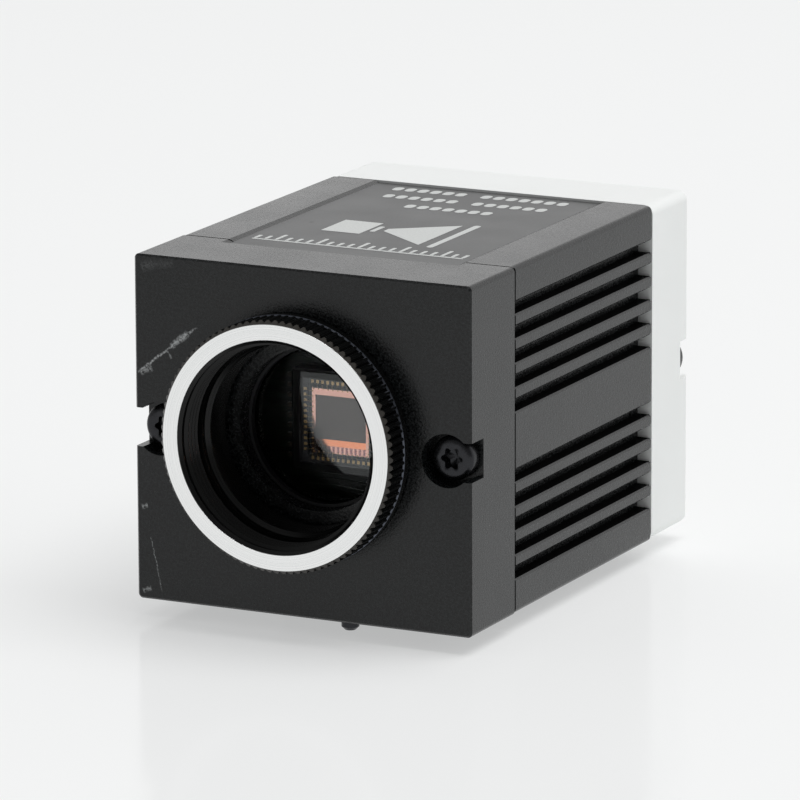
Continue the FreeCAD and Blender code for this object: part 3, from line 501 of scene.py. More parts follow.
def scratch(tree, place, start, end, width, strength):
    """A ragged scratch on the block's face between two (x, z) points in millimetres."""
    run = Vector((end[0] - start[0], end[1] - start[1]))
    laid = {"Vector": place, "Location": (start[0] * MM, 0, start[1] * MM)}
    laid["Rotation"] = (0, math.atan2(-run.y, run.x), 0)
    along = add_node(tree, "Mapping", laid, vector_type="TEXTURE")
    sides = add_node(tree, "SeparateXYZ", (along,)).node.outputs
    wander = add_node(tree, "TexNoise", {"Vector": along, "Scale": per_mm(SCRATCH_WANDER), "Detail": 3.0})
    wobble = (-SCRATCH_WOBBLE * MM, SCRATCH_WOBBLE * MM)
    wander = add_node(tree, "MapRange", (wander, *NOISE_SPAN, *wobble))
    drift = add_node(tree, "Math", (sides["Z"], wander), operation="ADD")
    line = within(tree, drift, -width / 2, width / 2, width)
    length = within(tree, sides["X"], 0, run.length, run.length * 0.1)
    speckle = {"Vector": along, "Scale": per_mm(SCRATCH_SPECKLE), "Detail": 3.0}
    speckle = add_node(tree, "TexNoise", speckle)
    broken = add_node(tree, "MapRange", (speckle, *SPECKLE_SPAN, 0.0, strength))
    stroke = add_node(tree, "Math", (line, length), operation="MULTIPLY")
    return add_node(tree, "Math", (stroke, broken), operation="MULTIPLY")


def black_anodised(name, marks=(), y_marked=0.0, painted_shade=None):
    """Deep black, satin, with a sandy grain; marks are scratches, and the last argument gives a mask where
    near-black shade is painted.
    """
    material, tree, shader = new_material(name, {"IOR": 1.45, "Specular IOR Level": 0.44})
    place = add_node(tree, "TexCoord", output="Object")
    axes = add_node(tree, "SeparateXYZ", (place,)).node.outputs
    blast = {"Vector": place, "Scale": per_mm(BLAST_GRAIN), "Detail": 3.0, "Roughness": 0.6}
    sand = add_node(tree, "TexNoise", blast)
    cloud = add_node(tree, "TexNoise", {"Vector": place, "Scale": per_mm(DYE_CLOUD), "Detail": 3.0})
    worn = add_node(tree, "MapRange", (sand, *SAND_SPAN))
    tones = {0: worn, 6: linear(OXIDE_BLACK), 7: linear(OXIDE_WORN)}
    colour = add_node(tree, "Mix", tones, 2, data_type="RGBA")
    sandy = add_node(tree, "MapRange", (sand, *NOISE_SPAN, 0.18, 0.3))
    cloudy = add_node(tree, "MapRange", (cloud, *NOISE_SPAN, -0.02, 0.03))
    rough = add_node(tree, "Math", (sandy, cloudy), operation="ADD")
    if marks:
        rubbed = 0.0
        for mark in marks:
            line = scratch(tree, place, *mark)
            rubbed = add_node(tree, "Math", (rubbed, line), operation="MAXIMUM")
        on_face = within(tree, axes["Y"], y_marked - SCRATCH_REACH, y_marked + SCRATCH_REACH)
        bare = add_node(tree, "Math", (rubbed, on_face), operation="MULTIPLY")
        colour = add_node(tree, "Mix", {0: bare, 6: colour, 7: linear(BARE_METAL)}, 2, data_type="RGBA")
    mask = None
    # painted shade: near-black, rough and metallic where the mask is, so that little light comes off there
    if painted_shade:
        mask = painted_shade(tree, axes)
        colour = add_node(tree, "Mix", {0: mask, 6: colour, 7: linear(PAINTED_SHADE_BLACK)}, 2, data_type="RGBA")
        matt = add_node(tree, "Math", (mask, FLANK_ROUGH), operation="MULTIPLY")
        rough = add_node(tree, "Math", (rough, matt), operation="MAXIMUM")
    surface(tree, shader, colour, rough, sand, 0.03, mask)
    return material


block_low = corners("front_block")[0]
finish(black_anodised("black_anodised_block", FACE_SCRATCHES, block_low.y), "front_block")

# ---- Finned housing ----
# A drawn aluminium section with five grooves in each half of each side, sawn off at both ends and black
# anodised as the block is. It holds the label channel, the cavity for the boards and two screw bosses.
SECTION_CORNER = 0.65
CORNER_STEPS = 8
FOOT_HEIGHT = 2.2
FOOT_HALF = 10.0
FOOT_SLANT = 1.27
GROOVES_PER_HALF = 5
GROOVE_WIDTH = 1.55
GROOVE_DEPTH = 1.8
FIN_WIDTH = 1.45
FIN_BEVEL = 0.22
MIDDLE_BAND = 7.1
CHANNEL_HALF = 16.0
CHANNEL_SLOPE = 1.2
CHANNEL_DEPTH = 0.45
CAVITY_HALF = 19.0
CAVITY_SPAN = (4.8, 42.45)
BOSS_PLACE = 19.25
BOSS_RADIUS = 3.1
BOSS_ARC = (-95, -265)       # degrees
BOSS_STEPS = 12
SCREW_HOLE = 1.55
HOLE_STEPS = 24
SECTION_SHARP = 15           # degrees; keeps the channel's slopes crisp
SKIN = 0.2                   # outermost layer that groove flanks don't reach
FLANK_FACING = (0.8, 0.9)    # upward share of the normal between which a flank begins
SEAM_SHADE = 0.45            # painted shade along the seam, where the block shades the section
FLANK_TOP = 43.5             # highest groove flank


def painted_shade_flanks_and_seam(tree, axes):
    """Mask of painted shade: the fins' upper flanks inside the grooves, and the strip of the section next to
    the block, where the block shades it.
    """
    facing = add_node(tree, "TexCoord", output="Normal")
    up = add_node(tree, "SeparateXYZ", (facing,), "Z")
    upward = add_node(tree, "MapRange", (up, *FLANK_FACING))
    inside = within(tree, axes["X"], section_low.x + SKIN, section_high.x - SKIN)
    below_top = within(tree, axes["Z"], section_low.z, FLANK_TOP)
    flank = add_node(tree, "Math", (upward, inside), operation="MULTIPLY")
    flank = add_node(tree, "Math", (flank, below_top), operation="MULTIPLY")
    outside = add_node(tree, "Math", (1.0, inside), operation="SUBTRACT")
    seam = within(tree, axes["Y"], section_low.y, section_low.y + SEAM_SHADE)
    seam = add_node(tree, "Math", (outside, seam), operation="MULTIPLY")
    return add_node(tree, "Math", (flank, seam), operation="MAXIMUM")


def arc(centre, radius, start, end, steps):
    """Points on a circle between two angles in degrees."""
    angles = [math.radians(start + (end - start) * i / steps) for i in range(steps + 1)]
    return [(centre[0] + radius * math.cos(angle), centre[1] + radius * math.sin(angle)) for angle in angles]


def section_side(half_width, z_low, z_high):
    """Right-hand outline of the drawn section, from the foot up to the label channel."""
    x_corner = half_width - SECTION_CORNER
    side = [(FOOT_HALF, 0.0), (FOOT_HALF - FOOT_SLANT, z_low)]
    side += arc((x_corner, z_low + SECTION_CORNER), SECTION_CORNER, -90, 0, CORNER_STEPS)
    pitch = GROOVE_WIDTH + FIN_WIDTH
    above = [(z_low + z_high + MIDDLE_BAND) / 2 + i * pitch for i in range(GROOVES_PER_HALF)]
    below = [z_low + z_high - low - GROOVE_WIDTH for low in reversed(above)]
    groove = [(0, -FIN_BEVEL), (FIN_BEVEL, 0), (GROOVE_DEPTH, 0)]
    groove += [(depth, GROOVE_WIDTH - rise) for depth, rise in reversed(groove)]
    for low in below + above:
        side += [(half_width - depth, low + rise) for depth, rise in groove]
    side += arc((x_corner, z_high - SECTION_CORNER), SECTION_CORNER, 0, 90, CORNER_STEPS)
    return side + [(CHANNEL_HALF, z_high), (CHANNEL_HALF - CHANNEL_SLOPE, z_high - CHANNEL_DEPTH)]


section_low, section_high = corners("housing")
z_middle = (FOOT_HEIGHT + section_high.z) / 2
outer_half = section_side(section_high.x, FOOT_HEIGHT, section_high.z)
inner_half = [(CAVITY_HALF, CAVITY_SPAN[0])]
inner_half += arc((BOSS_PLACE, z_middle), BOSS_RADIUS, *BOSS_ARC, BOSS_STEPS)
inner_half += [(CAVITY_HALF, CAVITY_SPAN[1])]
outlines = [half + [(-x, z) for x, z in reversed(half)] for half in (outer_half, inner_half)]
for side in (-1, 1):
    outlines.append(arc((side * BOSS_PLACE, z_middle), SCREW_HOLE, 0, 360, HOLE_STEPS)[:-1])
drawn = bmesh.new()
rims = []
for outline in outlines:
    chain = [drawn.verts.new((x, section_low.y, z)) for x, z in outline]
    rims += [drawn.edges.new(pair) for pair in zip(chain, chain[1:] + chain[:1])]
bmesh.ops.triangle_fill(drawn, edges=rims, use_beauty=True)
raised = bmesh.ops.extrude_face_region(drawn, geom=list(drawn.faces))["geom"]
far_end = [item for item in raised if isinstance(item, bmesh.types.BMVert)]
bmesh.ops.translate(drawn, vec=(0, section_high.y - section_low.y, 0), verts=far_end)
# the grooves' upper flanks and the seam strip get painted shade
section_black = black_anodised("black_anodised_section", painted_shade=painted_shade_flanks_and_seam)
piece = make_piece("housing_drawn", drawn, section_black, sharp=SECTION_SHARP)
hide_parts("housing")

# ---- Lens ring ----
# Turned from one aluminium bar, straight knurled, black anodised, and then faced off in the lathe:
# its front is bright bare metal with fine turning lines. The lens thread inside is 32 threads to the inch.
TURNED_BRIGHT = "F9F9F8"
TURNED_SHADE = "EDEEEE"
RING_BLACK = "050505"
RING_WORN = "101111"
CHAMFER_GREY = "3A3835"      # thinner oxide on the front chamfer
PAINTED_COLLAR_HIGHLIGHT = "50535B"       # painted highlight along the collar's front edge
HIGHLIGHT_START = 0.02          # the painted highlight starts just behind the collar's front face
FRONT_CHAMFER = 0.55
EDGE_BAND = 1.0              # the ring's outermost millimetre, which holds the grey front chamfer and the collar's painted highlight
COLLAR_START = 3.5           # smooth collar behind the knurl, from the ring's face
COLLAR_CHAMFER = 0.18
COLLAR_PROUD = 0.04
COLLAR_SUNK = 0.2            # into the ring, under the knurl's grooves
COLLAR_CLEAR = 0.35          # from the block's face
KNURL_DEPTH = 0.38
FACE_CUT = 0.03              # depth of the facing cut
TURNING_LINE = 0.12          # drawn coarser than the real 0.05 mm feed
THREAD_PITCH = 25.4 / 32
THREAD_CREST = 12.28
THREAD_ROOT = 12.78
THREAD_TURNS = 4
THREAD_START = 0.95          # from the ring's face
CREST_HALF = 0.05
THREAD_GAP = 0.01            # keeps neighbouring turns from touching
THREAD_STEPS = 96
TURN_STEPS = 72


def ring_metal(y_face):
    """Black anodised aluminium, bright where the front face was cut after anodising."""
    sockets = {"IOR": 1.5, "Specular IOR Level": 0.22}
    material, tree, shader = new_material("turned_and_anodised_ring", sockets)
    place = add_node(tree, "TexCoord", output="Object")
    axes = add_node(tree, "SeparateXYZ", (place,)).node.outputs
    centred = add_node(tree, "Mapping", {"Vector": place, "Location": (-ring_x * MM, 0, -ring_z * MM)})
    flat = add_node(tree, "VectorMath", (centred, (1, 0, 1)), operation="MULTIPLY")
    radius = add_node(tree, "VectorMath", (flat,), "Value", operation="LENGTH")
    turning = {"W": radius, "Scale": per_mm(TURNING_LINE), "Detail": 2.0}
    lines = add_node(tree, "TexNoise", turning, noise_dimensions="1D")
    grain = add_node(tree, "TexNoise", {"Vector": place, "Scale": per_mm(0.25), "Detail": 3.0})
    cut = add_node(tree, "MapRange", (lines, *NOISE_SPAN))
    tones = {0: cut, 6: linear(TURNED_BRIGHT), 7: linear(TURNED_SHADE)}
    silver = add_node(tree, "Mix", tones, 2, data_type="RGBA")
    tones = {0: grain, 6: linear(RING_BLACK), 7: linear(RING_WORN)}
    black = add_node(tree, "Mix", tones, 2, data_type="RGBA")
    edge = (ring_radius - EDGE_BAND) * MM
    outer = add_node(tree, "Math", (radius, edge), operation="GREATER_THAN")
    y_collar = y_face + COLLAR_START
    chamfers = ((y_face, y_face + FRONT_CHAMFER, CHAMFER_GREY),
                (y_collar + HIGHLIGHT_START, y_collar + COLLAR_CHAMFER, PAINTED_COLLAR_HIGHLIGHT))
    # the last one is the collar's edge, a metallic painted highlight
    for y_low, y_high, paint in chamfers:
        band = within(tree, axes["Y"], y_low, y_high)
        chamfer = add_node(tree, "Math", (outer, band), operation="MULTIPLY")
        black = add_node(tree, "Mix", {0: chamfer, 6: black, 7: linear(paint)}, 2, data_type="RGBA")
    bright = within(tree, axes["Y"], y_face - FACE_CUT, y_face + FACE_CUT, 0.01)
    colour = add_node(tree, "Mix", {0: bright, 6: black, 7: silver}, 2, data_type="RGBA")
    # the cut face and the collar's painted highlight are metal
    metal = add_node(tree, "Math", (bright, chamfer), operation="MAXIMUM")
    rough = add_node(tree, "MapRange", (lines, *NOISE_SPAN, 0.18, 0.28))
    relief = add_node(tree, "Math", (lines, bright), operation="MULTIPLY")
    surface(tree, shader, colour, rough, relief, 0.006, metal)
    return material


def add_helix(mesh, spot, profile, y_start, pitch, turns, steps):
    """A thread ridge: the (radius, y) profile wound round the line along Y through spot."""
    chain = [mesh.verts.new((spot[0] + radius, y_start + y, spot[1])) for radius, y in profile]
    rim = [mesh.edges.new(pair) for pair in zip(chain, chain[1:] + chain[:1])]
    section = mesh.faces.new(chain)
    centre = (spot[0], 0, spot[1])
    climb = Vector((0, pitch / steps, 0))
    bmesh.ops.spin(mesh, geom=chain + rim + [section], cent=centre, axis=(0, 1, 0), dvec=climb,
                   angle=math.tau * turns, steps=steps * turns, use_duplicate=False)


def add_turned(mesh, spot, profile):
    """Spin a closed (radius, y) profile about the line along Y through spot."""
    chain = [mesh.verts.new((spot[0] + radius, y, spot[1])) for radius, y in profile]
    rim = [mesh.edges.new(pair) for pair in zip(chain, chain[1:] + chain[:1])]
    bmesh.ops.spin(mesh, geom=chain + rim, cent=(spot[0], 0, spot[1]), axis=(0, 1, 0),
                   angle=math.tau, steps=TURN_STEPS, use_merge=True)


ring_radius = (ring_high.x - ring_low.x) / 2
ring_material = ring_metal(ring_low.y)
finish(ring_material, "mount_ring")
half_ridge = THREAD_PITCH / 2 - THREAD_GAP
ridge = [(THREAD_ROOT, -half_ridge), (THREAD_CREST, -CREST_HALF)]
ridge += [(THREAD_CREST, CREST_HALF), (THREAD_ROOT, half_ridge)]
thread = bmesh.new()
y_start = ring_low.y + THREAD_START
add_helix(thread, (ring_x, ring_z), ridge, y_start, THREAD_PITCH, THREAD_TURNS, THREAD_STEPS)
make_piece("lens_thread", thread, ring_material, "lens_ring")

inner = ring_radius - KNURL_DEPTH - COLLAR_SUNK
outer = ring_radius + COLLAR_PROUD
y_front = ring_low.y + COLLAR_START
y_rear = block_low.y - COLLAR_CLEAR
profile = [(inner, y_front), (outer - COLLAR_CHAMFER, y_front), (outer, y_front + COLLAR_CHAMFER)]
profile += [(outer, y_rear), (inner, y_rear)]
collar = bmesh.new()
add_turned(collar, (ring_x, ring_z), profile)
make_piece("ring_collar", collar, ring_material, "lens_ring")

# ---- Seals ----
# Flat rings cut from black nitrile rubber. One lies between the housing and each of its two ends, and
# one under each round socket, where the screws and the sockets' nuts press them flat.
SEAL_BLACK = ("0B0B0C", "151516")

# pressed nitrile rubber: matt black with a soft uneven surface
nitrile = patchy_material("nitrile_rubber", {"IOR": 1.5}, SEAL_BLACK, 0.4, (0.6, 0.8), 0.02)
seals = ("front_gasket", "rear_gasket", "lan_socket_seal", "data_socket_seal", "power_socket_seal")
finish(nitrile, *seals)

# ---- Label film ----
# A dark grey printed polyester film lies in the channel along the top. Its print here is generic: a
# field-of-view sketch, plain bars where lines of words would be, and a row of scale marks.
FILM_GREY = "121415"
FILM_WORN = "242627"
SPECK_BLACK = "020202"
PRINT_WHITE = ("D8DAD8", "BFC2C1")
PRINT_THICKNESS = 0.02
FILM_SPREAD = (0.28, 0.25)   # how much the film is let out into the channel's corners
FILM_FLARE = (0.52, 0.56)    # its edges lie against the channel's sloping sides
WORD_ROWS = ((17.2, (6, 7)), (12.8, (6, 6)), (8.1, (7,)))
BLOCK_SIZE = 1.3
BLOCK_GAP = 0.45
BLOCK_RISE = 0.35
SKETCH_CAMERA = ((-8.8, -9.4), (-3.6, -9.4), (-3.6, -2.6), (-8.8, -2.6))
SKETCH_LENS = ((-2.8, -7.3), (-2.8, -4.7), 0.7)
SKETCH_VIEW = ((-1.6, -6.7), (5.8, -12.2), (5.8, 0.2), (-1.6, -5.3))
SKETCH_TARGET = ((7.6, -12.6), (7.6, 0.6), 0.9)
TICK_LINE = -17.2
TICK_PITCH = 1.4
TICKS = 10                   # to each side of the middle one
TICK_WIDTH = 0.5
TICK_START = 0.6             # from the line along the ticks
TICK_SHORT = 1.9
TICK_LONG = 3.2
FILM_SPECK = (-12.0, -5.6)
SPECK_HALF = (0.25, 0.35)


def printed_film():
    """Polyester film, printed dark grey on the back: smooth, slightly wavy gloss with a dark speck."""
    sockets = {"IOR": 1.5, "Specular IOR Level": 0.5}
    material, tree, shader = new_material("dark_polyester_film", sockets)
    place = add_node(tree, "TexCoord", output="Object")
    axes = add_node(tree, "SeparateXYZ", (place,)).node.outputs
    fine = add_node(tree, "TexNoise", {"Vector": place, "Scale": per_mm(0.3)})
    broad = add_node(tree, "TexNoise", {"Vector": place, "Scale": per_mm(9.0)})
    dusty = add_node(tree, "MapRange", (fine, *NOISE_SPAN))
    tones = {0: dusty, 6: linear(FILM_GREY), 7: linear(FILM_WORN)}
    grey = add_node(tree, "Mix", tones, 2, data_type="RGBA")
    sides = [within(tree, axes[axis], middle - half, middle + half, 0.2)
             for axis, middle, half in zip("XY", FILM_SPECK, SPECK_HALF)]
    speck = add_node(tree, "Math", sides, operation="MULTIPLY")
    colour = add_node(tree, "Mix", {0: speck, 6: grey, 7: linear(SPECK_BLACK)}, 2, data_type="RGBA")
    rough = add_node(tree, "MapRange", (broad, *NOISE_SPAN, 0.33, 0.37))
    surface(tree, shader, colour, rough, fine, 0.006, speck)
    return material


def add_ink(mesh, face):
    """Give a printed face the thickness of the ink."""
    raised = bmesh.ops.extrude_face_region(mesh, geom=[face])["geom"]
    top = [item for item in raised if isinstance(item, bmesh.types.BMVert)]
    bmesh.ops.translate(mesh, vec=(0, 0, PRINT_THICKNESS), verts=top)


def add_stroke(mesh, start, end, width):
    """A printed line with rounded ends between two (x, y) points on the film."""
    run = Vector((end[0] - start[0], end[1] - start[1], 0))
    disc = bmesh.ops.create_circle(mesh, cap_ends=True, segments=16, radius=width / 2)["verts"]
    far = [vert for vert in disc if vert.co.x > -1e-6]
    bmesh.ops.translate(mesh, vec=(run.length, 0, 0), verts=far)
    turn = Matrix.Rotation(math.atan2(run.y, run.x), 3, "Z")
    bmesh.ops.rotate(mesh, matrix=turn, verts=disc)
    bmesh.ops.translate(mesh, vec=(start[0], start[1], film_high.z), verts=disc)
    add_ink(mesh, disc[0].link_faces[0])


def add_plate(mesh, points):
    """A printed area with these (x, y) corners on the film."""
    add_ink(mesh, mesh.faces.new([mesh.verts.new((x, y, film_high.z)) for x, y in points]))


film_low, film_high = corners("label_film")
film = bmesh.new()
rim = []
for z, out in ((film_low.z, 0.0), (film_high.z, 1.0)):
    half_film = film_high.x + FILM_SPREAD[0] + out * FILM_FLARE[0]
    y_front = film_low.y - out * FILM_FLARE[1]
    y_rear = film_high.y + FILM_SPREAD[1]
    spots = ((-half_film, y_front), (half_film, y_front), (half_film, y_rear), (-half_film, y_rear))
    rim.append([film.verts.new((x, y, z)) for x, y in spots])
lower, upper = rim
film.faces.new(lower)
film.faces.new(upper)
for i in range(4):
    film.faces.new((lower[i - 1], lower[i], upper[i], upper[i - 1]))
piece = make_piece("label_film_fitted", film, printed_film())
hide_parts("label_film")

label = bmesh.new()
# words as rows of plain blocks
for y_line, words in WORD_ROWS:
    pitch = BLOCK_SIZE + BLOCK_GAP
    total = (sum(words) + len(words) - 1) * pitch - BLOCK_GAP
    x = -total / 2 + BLOCK_SIZE / 2
    for word in words:
        for _ in range(word):
            add_stroke(label, (x, y_line - BLOCK_RISE), (x, y_line + BLOCK_RISE), BLOCK_SIZE)
            x += pitch
        x += pitch
# camera body with its lens, the cone of view and what it looks at
add_plate(label, SKETCH_CAMERA)
add_stroke(label, *SKETCH_LENS)
add_plate(label, SKETCH_VIEW)
add_stroke(label, *SKETCH_TARGET)
# scale marks along the front edge, every fourth one longer
reach = TICK_PITCH * TICKS
add_stroke(label, (-reach, TICK_LINE), (reach, TICK_LINE), TICK_WIDTH)
for tick in range(-TICKS, TICKS + 1):
    x = tick * TICK_PITCH
    length = TICK_SHORT if tick % 4 else TICK_LONG
    add_stroke(label, (x, TICK_LINE + TICK_START), (x, TICK_LINE + length), TICK_WIDTH)
# white screen ink: a thin, slightly grainy opaque layer
ink = patchy_material("white_screen_ink", {"IOR": 1.5}, PRINT_WHITE, 0.25, (0.45, 0.6), 0.01)
make_piece("label_print", label, ink)

# ---- Rear cover ----
# Moulded in one piece in white glass-filled plastic, with softly rounded edges and a satin skin.
# The two rear screws hold it against the end of the housing.
COVER_WHITE = "F4F6F5"
COVER_SHADE = "EFF1F0"


def moulded_white():
    """Injection-moulded white plastic: even, satin, with a very fine spark-eroded texture."""
    sockets = {"IOR": 1.5, "Specular IOR Level": 0.4}
    material, tree, shader = new_material("moulded_white_plastic", sockets)
    place = add_node(tree, "TexCoord", output="Object")
    texture = add_node(tree, "TexNoise", {"Vector": place, "Scale": per_mm(0.35), "Detail": 3.0})
    shade = add_node(tree, "TexNoise", {"Vector": place, "Scale": per_mm(12.0)})
    tones = {0: shade, 6: linear(COVER_WHITE), 7: linear(COVER_SHADE)}
    colour = add_node(tree, "Mix", tones, 2, data_type="RGBA")
    rough = add_node(tree, "MapRange", (texture, *NOISE_SPAN, 0.42, 0.55))
    surface(tree, shader, colour, rough, texture, 0.008)
    return material


finish(moulded_white(), "rear_cover")

# ---- Long screws and stop stud ----
# Cold-headed steel screws with domed cap heads and six-lobe drives, black oxide finish. Two hold the
# front block and two the rear cover; a small stud of the same finish stops the clamp under the block.
OXIDE_STEEL = ("2E2F32", "3A3A3C")
HEAD_RADIUS = 2.75
HEAD_HEIGHT = 2.1
HEAD_EDGE = 0.1              # bevel under the head
DOME_HEIGHT = 0.75
DOME_ROUND = 1.3             # how far the dome draws in, as a share of its height
DOME_STEPS = 7
DOME_TURN = 12               # degrees per step
DRIVE_RADIUS = 1.2
DRIVE_MOUTH = 1.25           # the land round the drive, as a share of its radius
DRIVE_EDGE = 0.06
DRIVE_DRAFT = 0.96           # its floor, as a share of its radius
DRIVE_DEPTH = 1.5
DRIVE_CONE = 0.2             # hollow below the drive's floor
CONE_RADIUS = 0.3
LOBE_SHARE = 0.16
SHANK_RADIUS = 1.5
TIP_SHARE = 0.8
TIP_BEVEL = 0.3
SCREW_SIDES = 72


def add_loop(mesh, spot, y, radius, lobes=0.0):
    """A closed loop of edges round spot at height y; lobes pulls it into six lobes."""
    laid = Matrix.Translation((spot[0], y, spot[1])) @ Matrix.Rotation(math.pi / 2, 4, "X")
    made = bmesh.ops.create_circle(mesh, segments=SCREW_SIDES, radius=radius, matrix=laid)["verts"]
    for vert in made:
        offset = vert.co - Vector((spot[0], y, spot[1]))
        vert.co += offset * lobes * math.cos(6 * math.atan2(offset.z, offset.x))
    return list({edge for vert in made for edge in vert.link_edges})


def add_screw(mesh, spot, y_seat, y_tip):
    """One screw from its seat to its tip; the head stands the other way."""
    out = -1 if y_tip > y_seat else 1
    y_top = y_seat + out * HEAD_HEIGHT
    rings = [(y_tip, SHANK_RADIUS * TIP_SHARE), (y_tip + out * TIP_BEVEL, SHANK_RADIUS)]
    rings += [(y_seat, SHANK_RADIUS), (y_seat, HEAD_RADIUS - HEAD_EDGE)]
    rings += [(y_seat + out * HEAD_EDGE, HEAD_RADIUS)]
    for step in range(DOME_STEPS):
        angle = math.radians(step * DOME_TURN)
        radius = HEAD_RADIUS - DOME_HEIGHT * (1 - math.cos(angle)) * DOME_ROUND
        rings.append((y_top - out * DOME_HEIGHT * (1 - math.sin(angle)), radius))
    rings += [(y_top, DRIVE_RADIUS * DRIVE_MOUTH), (y_top - out * DRIVE_EDGE, DRIVE_RADIUS, LOBE_SHARE)]
    rings += [(y_top - out * DRIVE_DEPTH, DRIVE_RADIUS * DRIVE_DRAFT, LOBE_SHARE)]
    rings += [(y_top - out * (DRIVE_DEPTH + DRIVE_CONE), CONE_RADIUS)]
    loops = [add_loop(mesh, spot, *ring) for ring in rings]
    for first, second in zip(loops, loops[1:]):
        bmesh.ops.bridge_loops(mesh, edges=first + second)
    for end in (loops[0], loops[-1]):
        bmesh.ops.edgeloop_fill(mesh, edges=end)


# black oxide on hardened steel: dark, lightly oiled metal with worn highlights
screw_black = patchy_material("black_oxide_steel", {"Metallic": 0.9}, OXIDE_STEEL, 0.35, (0.2, 0.34), 0.01)
for name, towards in (("front_screws", 1), ("rear_screws", -1)):
    low, high = corners(name)
    middle_z = (low.z + high.z) / 2
    y_tip = high.y if towards > 0 else low.y
    y_seat = low.y + HEAD_HEIGHT if towards > 0 else high.y - HEAD_HEIGHT
    screws = bmesh.new()
    for x in (low.x + HEAD_RADIUS, high.x - HEAD_RADIUS):
        add_screw(screws, (x, middle_z), y_seat, y_tip)
    piece = make_piece(name + "_detailed", screws, screw_black)
    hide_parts(name)
finish(screw_black, "stop_stud")

# ---- Round sockets ----
# Three M12 sockets: nickel-plated brass shells with a rolled coupling thread, screwed through the
# cover with a nut inside. Black nylon carriers hold gold-plated contacts, round holes or round pins.
NICKEL = ("C8C3B8", "B5B0A6")
NYLON_BLACK = ("141416", "1E1E20")
COUPLING_PITCH = 1.0
COUPLING_CREST = 6.0
COUPLING_CORE = 5.45
COUPLING_TURNS = 5
COUPLING_START = 0.55        # from the flange
COUPLING_SUNK = 0.05         # the ridge's foot, below the core's surface
RIDGE_HALF = 0.48
RIDGE_CREST = 0.08
FLANGE_RADIUS = 7.2
FLANGE_THICKNESS = 1.6
FLANGE_EDGES = (0.15, 0.25)  # bevels towards the cover and away from it
SHELL_EDGE = 0.2
NECK_RADIUS = 5.6
CUP_RADIUS = 4.4
THREAD_LENGTH = 6.1

# nickel over turned brass: warm grey, bright, with faint turning marks
nickel = patchy_material("nickel_plate", {"Metallic": 1.0}, NICKEL, 0.3, (0.2, 0.34), 0.004)
# moulded black nylon: satin, with a fine matt texture
nylon = patchy_material("moulded_black_nylon", {"IOR": 1.5}, NYLON_BLACK, 0.2, (0.42, 0.58), 0.01)
foot = COUPLING_CORE - COUPLING_SUNK
ridge = [(foot, -RIDGE_HALF), (COUPLING_CREST, -RIDGE_CREST)]
ridge += [(COUPLING_CREST, RIDGE_CREST), (foot, RIDGE_HALF)]
cover_edge, open_edge = FLANGE_EDGES
for socket in ("lan_socket", "data_socket", "power_socket"):
    low, high = corners(socket + "_shell")
    spot = ((low.x + high.x) / 2, (low.z + high.z) / 2)
    y_thread = high.y - THREAD_LENGTH
    y_flange = y_thread - FLANGE_THICKNESS
    profile = [(CUP_RADIUS, low.y), (NECK_RADIUS, low.y), (NECK_RADIUS, y_flange)]
    profile += [(FLANGE_RADIUS - cover_edge, y_flange), (FLANGE_RADIUS, y_flange + cover_edge)]
    profile += [(FLANGE_RADIUS, y_thread - open_edge), (FLANGE_RADIUS - open_edge, y_thread)]
    profile += [(COUPLING_CORE, y_thread), (COUPLING_CORE, high.y - SHELL_EDGE)]
    profile += [(COUPLING_CORE - SHELL_EDGE, high.y), (CUP_RADIUS + SHELL_EDGE, high.y)]
    profile += [(CUP_RADIUS, high.y - SHELL_EDGE)]
    shell = bmesh.new()
    add_turned(shell, spot, profile)
    y_start = y_thread + COUPLING_START
    add_helix(shell, spot, ridge, y_start, COUPLING_PITCH, COUPLING_TURNS, TURN_STEPS)
    piece = make_piece(socket + "_shell_threaded", shell, nickel)
    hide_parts(socket + "_shell")
    finish(nylon, socket + "_insert")
    finish(gold, socket + "_contacts")
    finish(nickel, socket + "_nut")

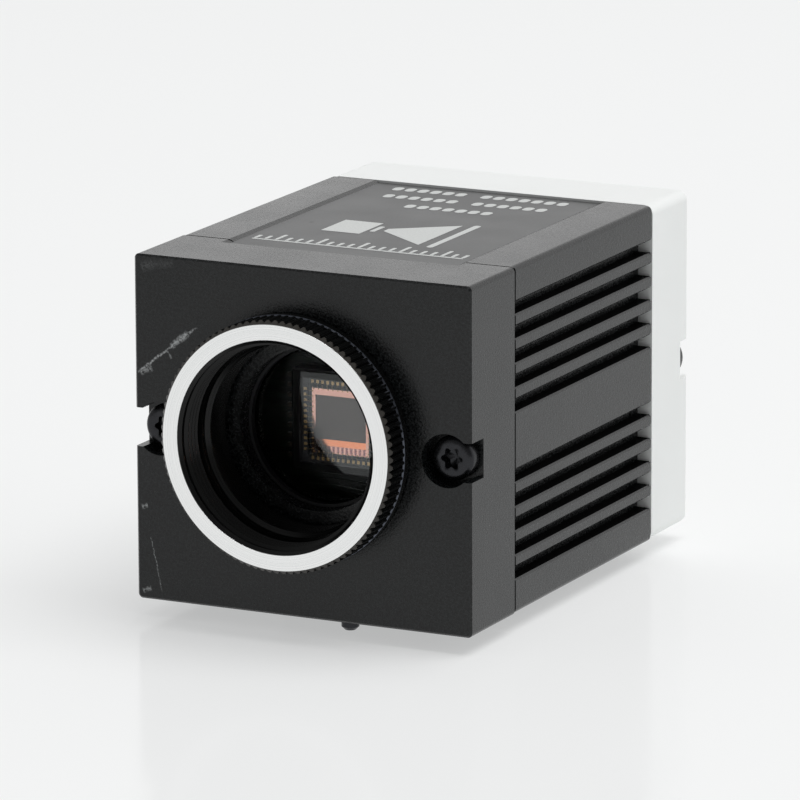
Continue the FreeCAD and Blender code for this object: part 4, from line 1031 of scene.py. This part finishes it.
# ---- Status lights ----
# Four clear acrylic rods carry the light of four small lamps on the rear board to the cover's face.
# The rods are cut from round bar, and the lamps, in milky resin, are unlit.
ACRYLIC = "DDE6E6"
LAMP_BODY = ("E8E2C8", "D8CFA8")


def polished_acrylic():
    """Clear acrylic rod: glass-like, with a faint uneven frost."""
    sockets = {"Base Color": linear(ACRYLIC), "Transmission Weight": 0.85, "IOR": 1.49}
    material, tree, shader = new_material("clear_acrylic", sockets)
    place = add_node(tree, "TexCoord", output="Object")
    frost = add_node(tree, "TexNoise", {"Vector": place, "Scale": per_mm(0.2), "Detail": 3.0})
    rough = add_node(tree, "MapRange", (frost, *NOISE_SPAN, 0.12, 0.3))
    tree.links.new(rough, shader.inputs["Roughness"])
    return material


finish(polished_acrylic(), "light_guides")
# milky resin over a light-emitting chip, unlit
resin = patchy_material("milky_resin", {"IOR": 1.5}, LAMP_BODY, 0.4, (0.3, 0.3), detail=2.0)
finish(resin, "status_lights")

# ---- Electronics behind the sensor ----
# Boards, chips, coils and connectors that fill the closed housing. Nothing of them shows from outside,
# so each keeps its plain form and gets the finish of its own material.
ROUGH_SPREAD = 0.06
# material, its two colours, size of their patches, roughness, share of metal, and the pieces made of it
INNER_FINISHES = (
    ("moulded_epoxy", ("151517", "1E1E20"), 0.3, 0.5, 0.0, "processor_chip memory_chips network_transformer"),
    ("silicone_pad", ("8C949A", "9AA2A8"), 0.8, 0.7, 0.0, "thermal_pad"),
    ("mill_aluminium", ("C4C6C8", "D2D4D5"), 0.6, 0.35, 1.0, "heat_spreader power_capacitors"),
    ("sintered_ferrite", ("2C2C2E", "38383A"), 0.3, 0.6, 0.0, "inductors"),
    ("zinc_plated_steel", ("B4B8BC", "C6C9CC"), 0.5, 0.3, 1.0, "board_screws"),
)
for name, tones, size, rough, metal, pieces in INNER_FINISHES:
    spread = (rough - ROUGH_SPREAD, rough + ROUGH_SPREAD)
    inner = patchy_material(name, {"Metallic": metal}, tones, size, spread, 0.01)
    finish(inner, *pieces.split())
finish(nickel, "board_spacers")
finish(nylon, "stacking_plugs", "stacking_sockets")
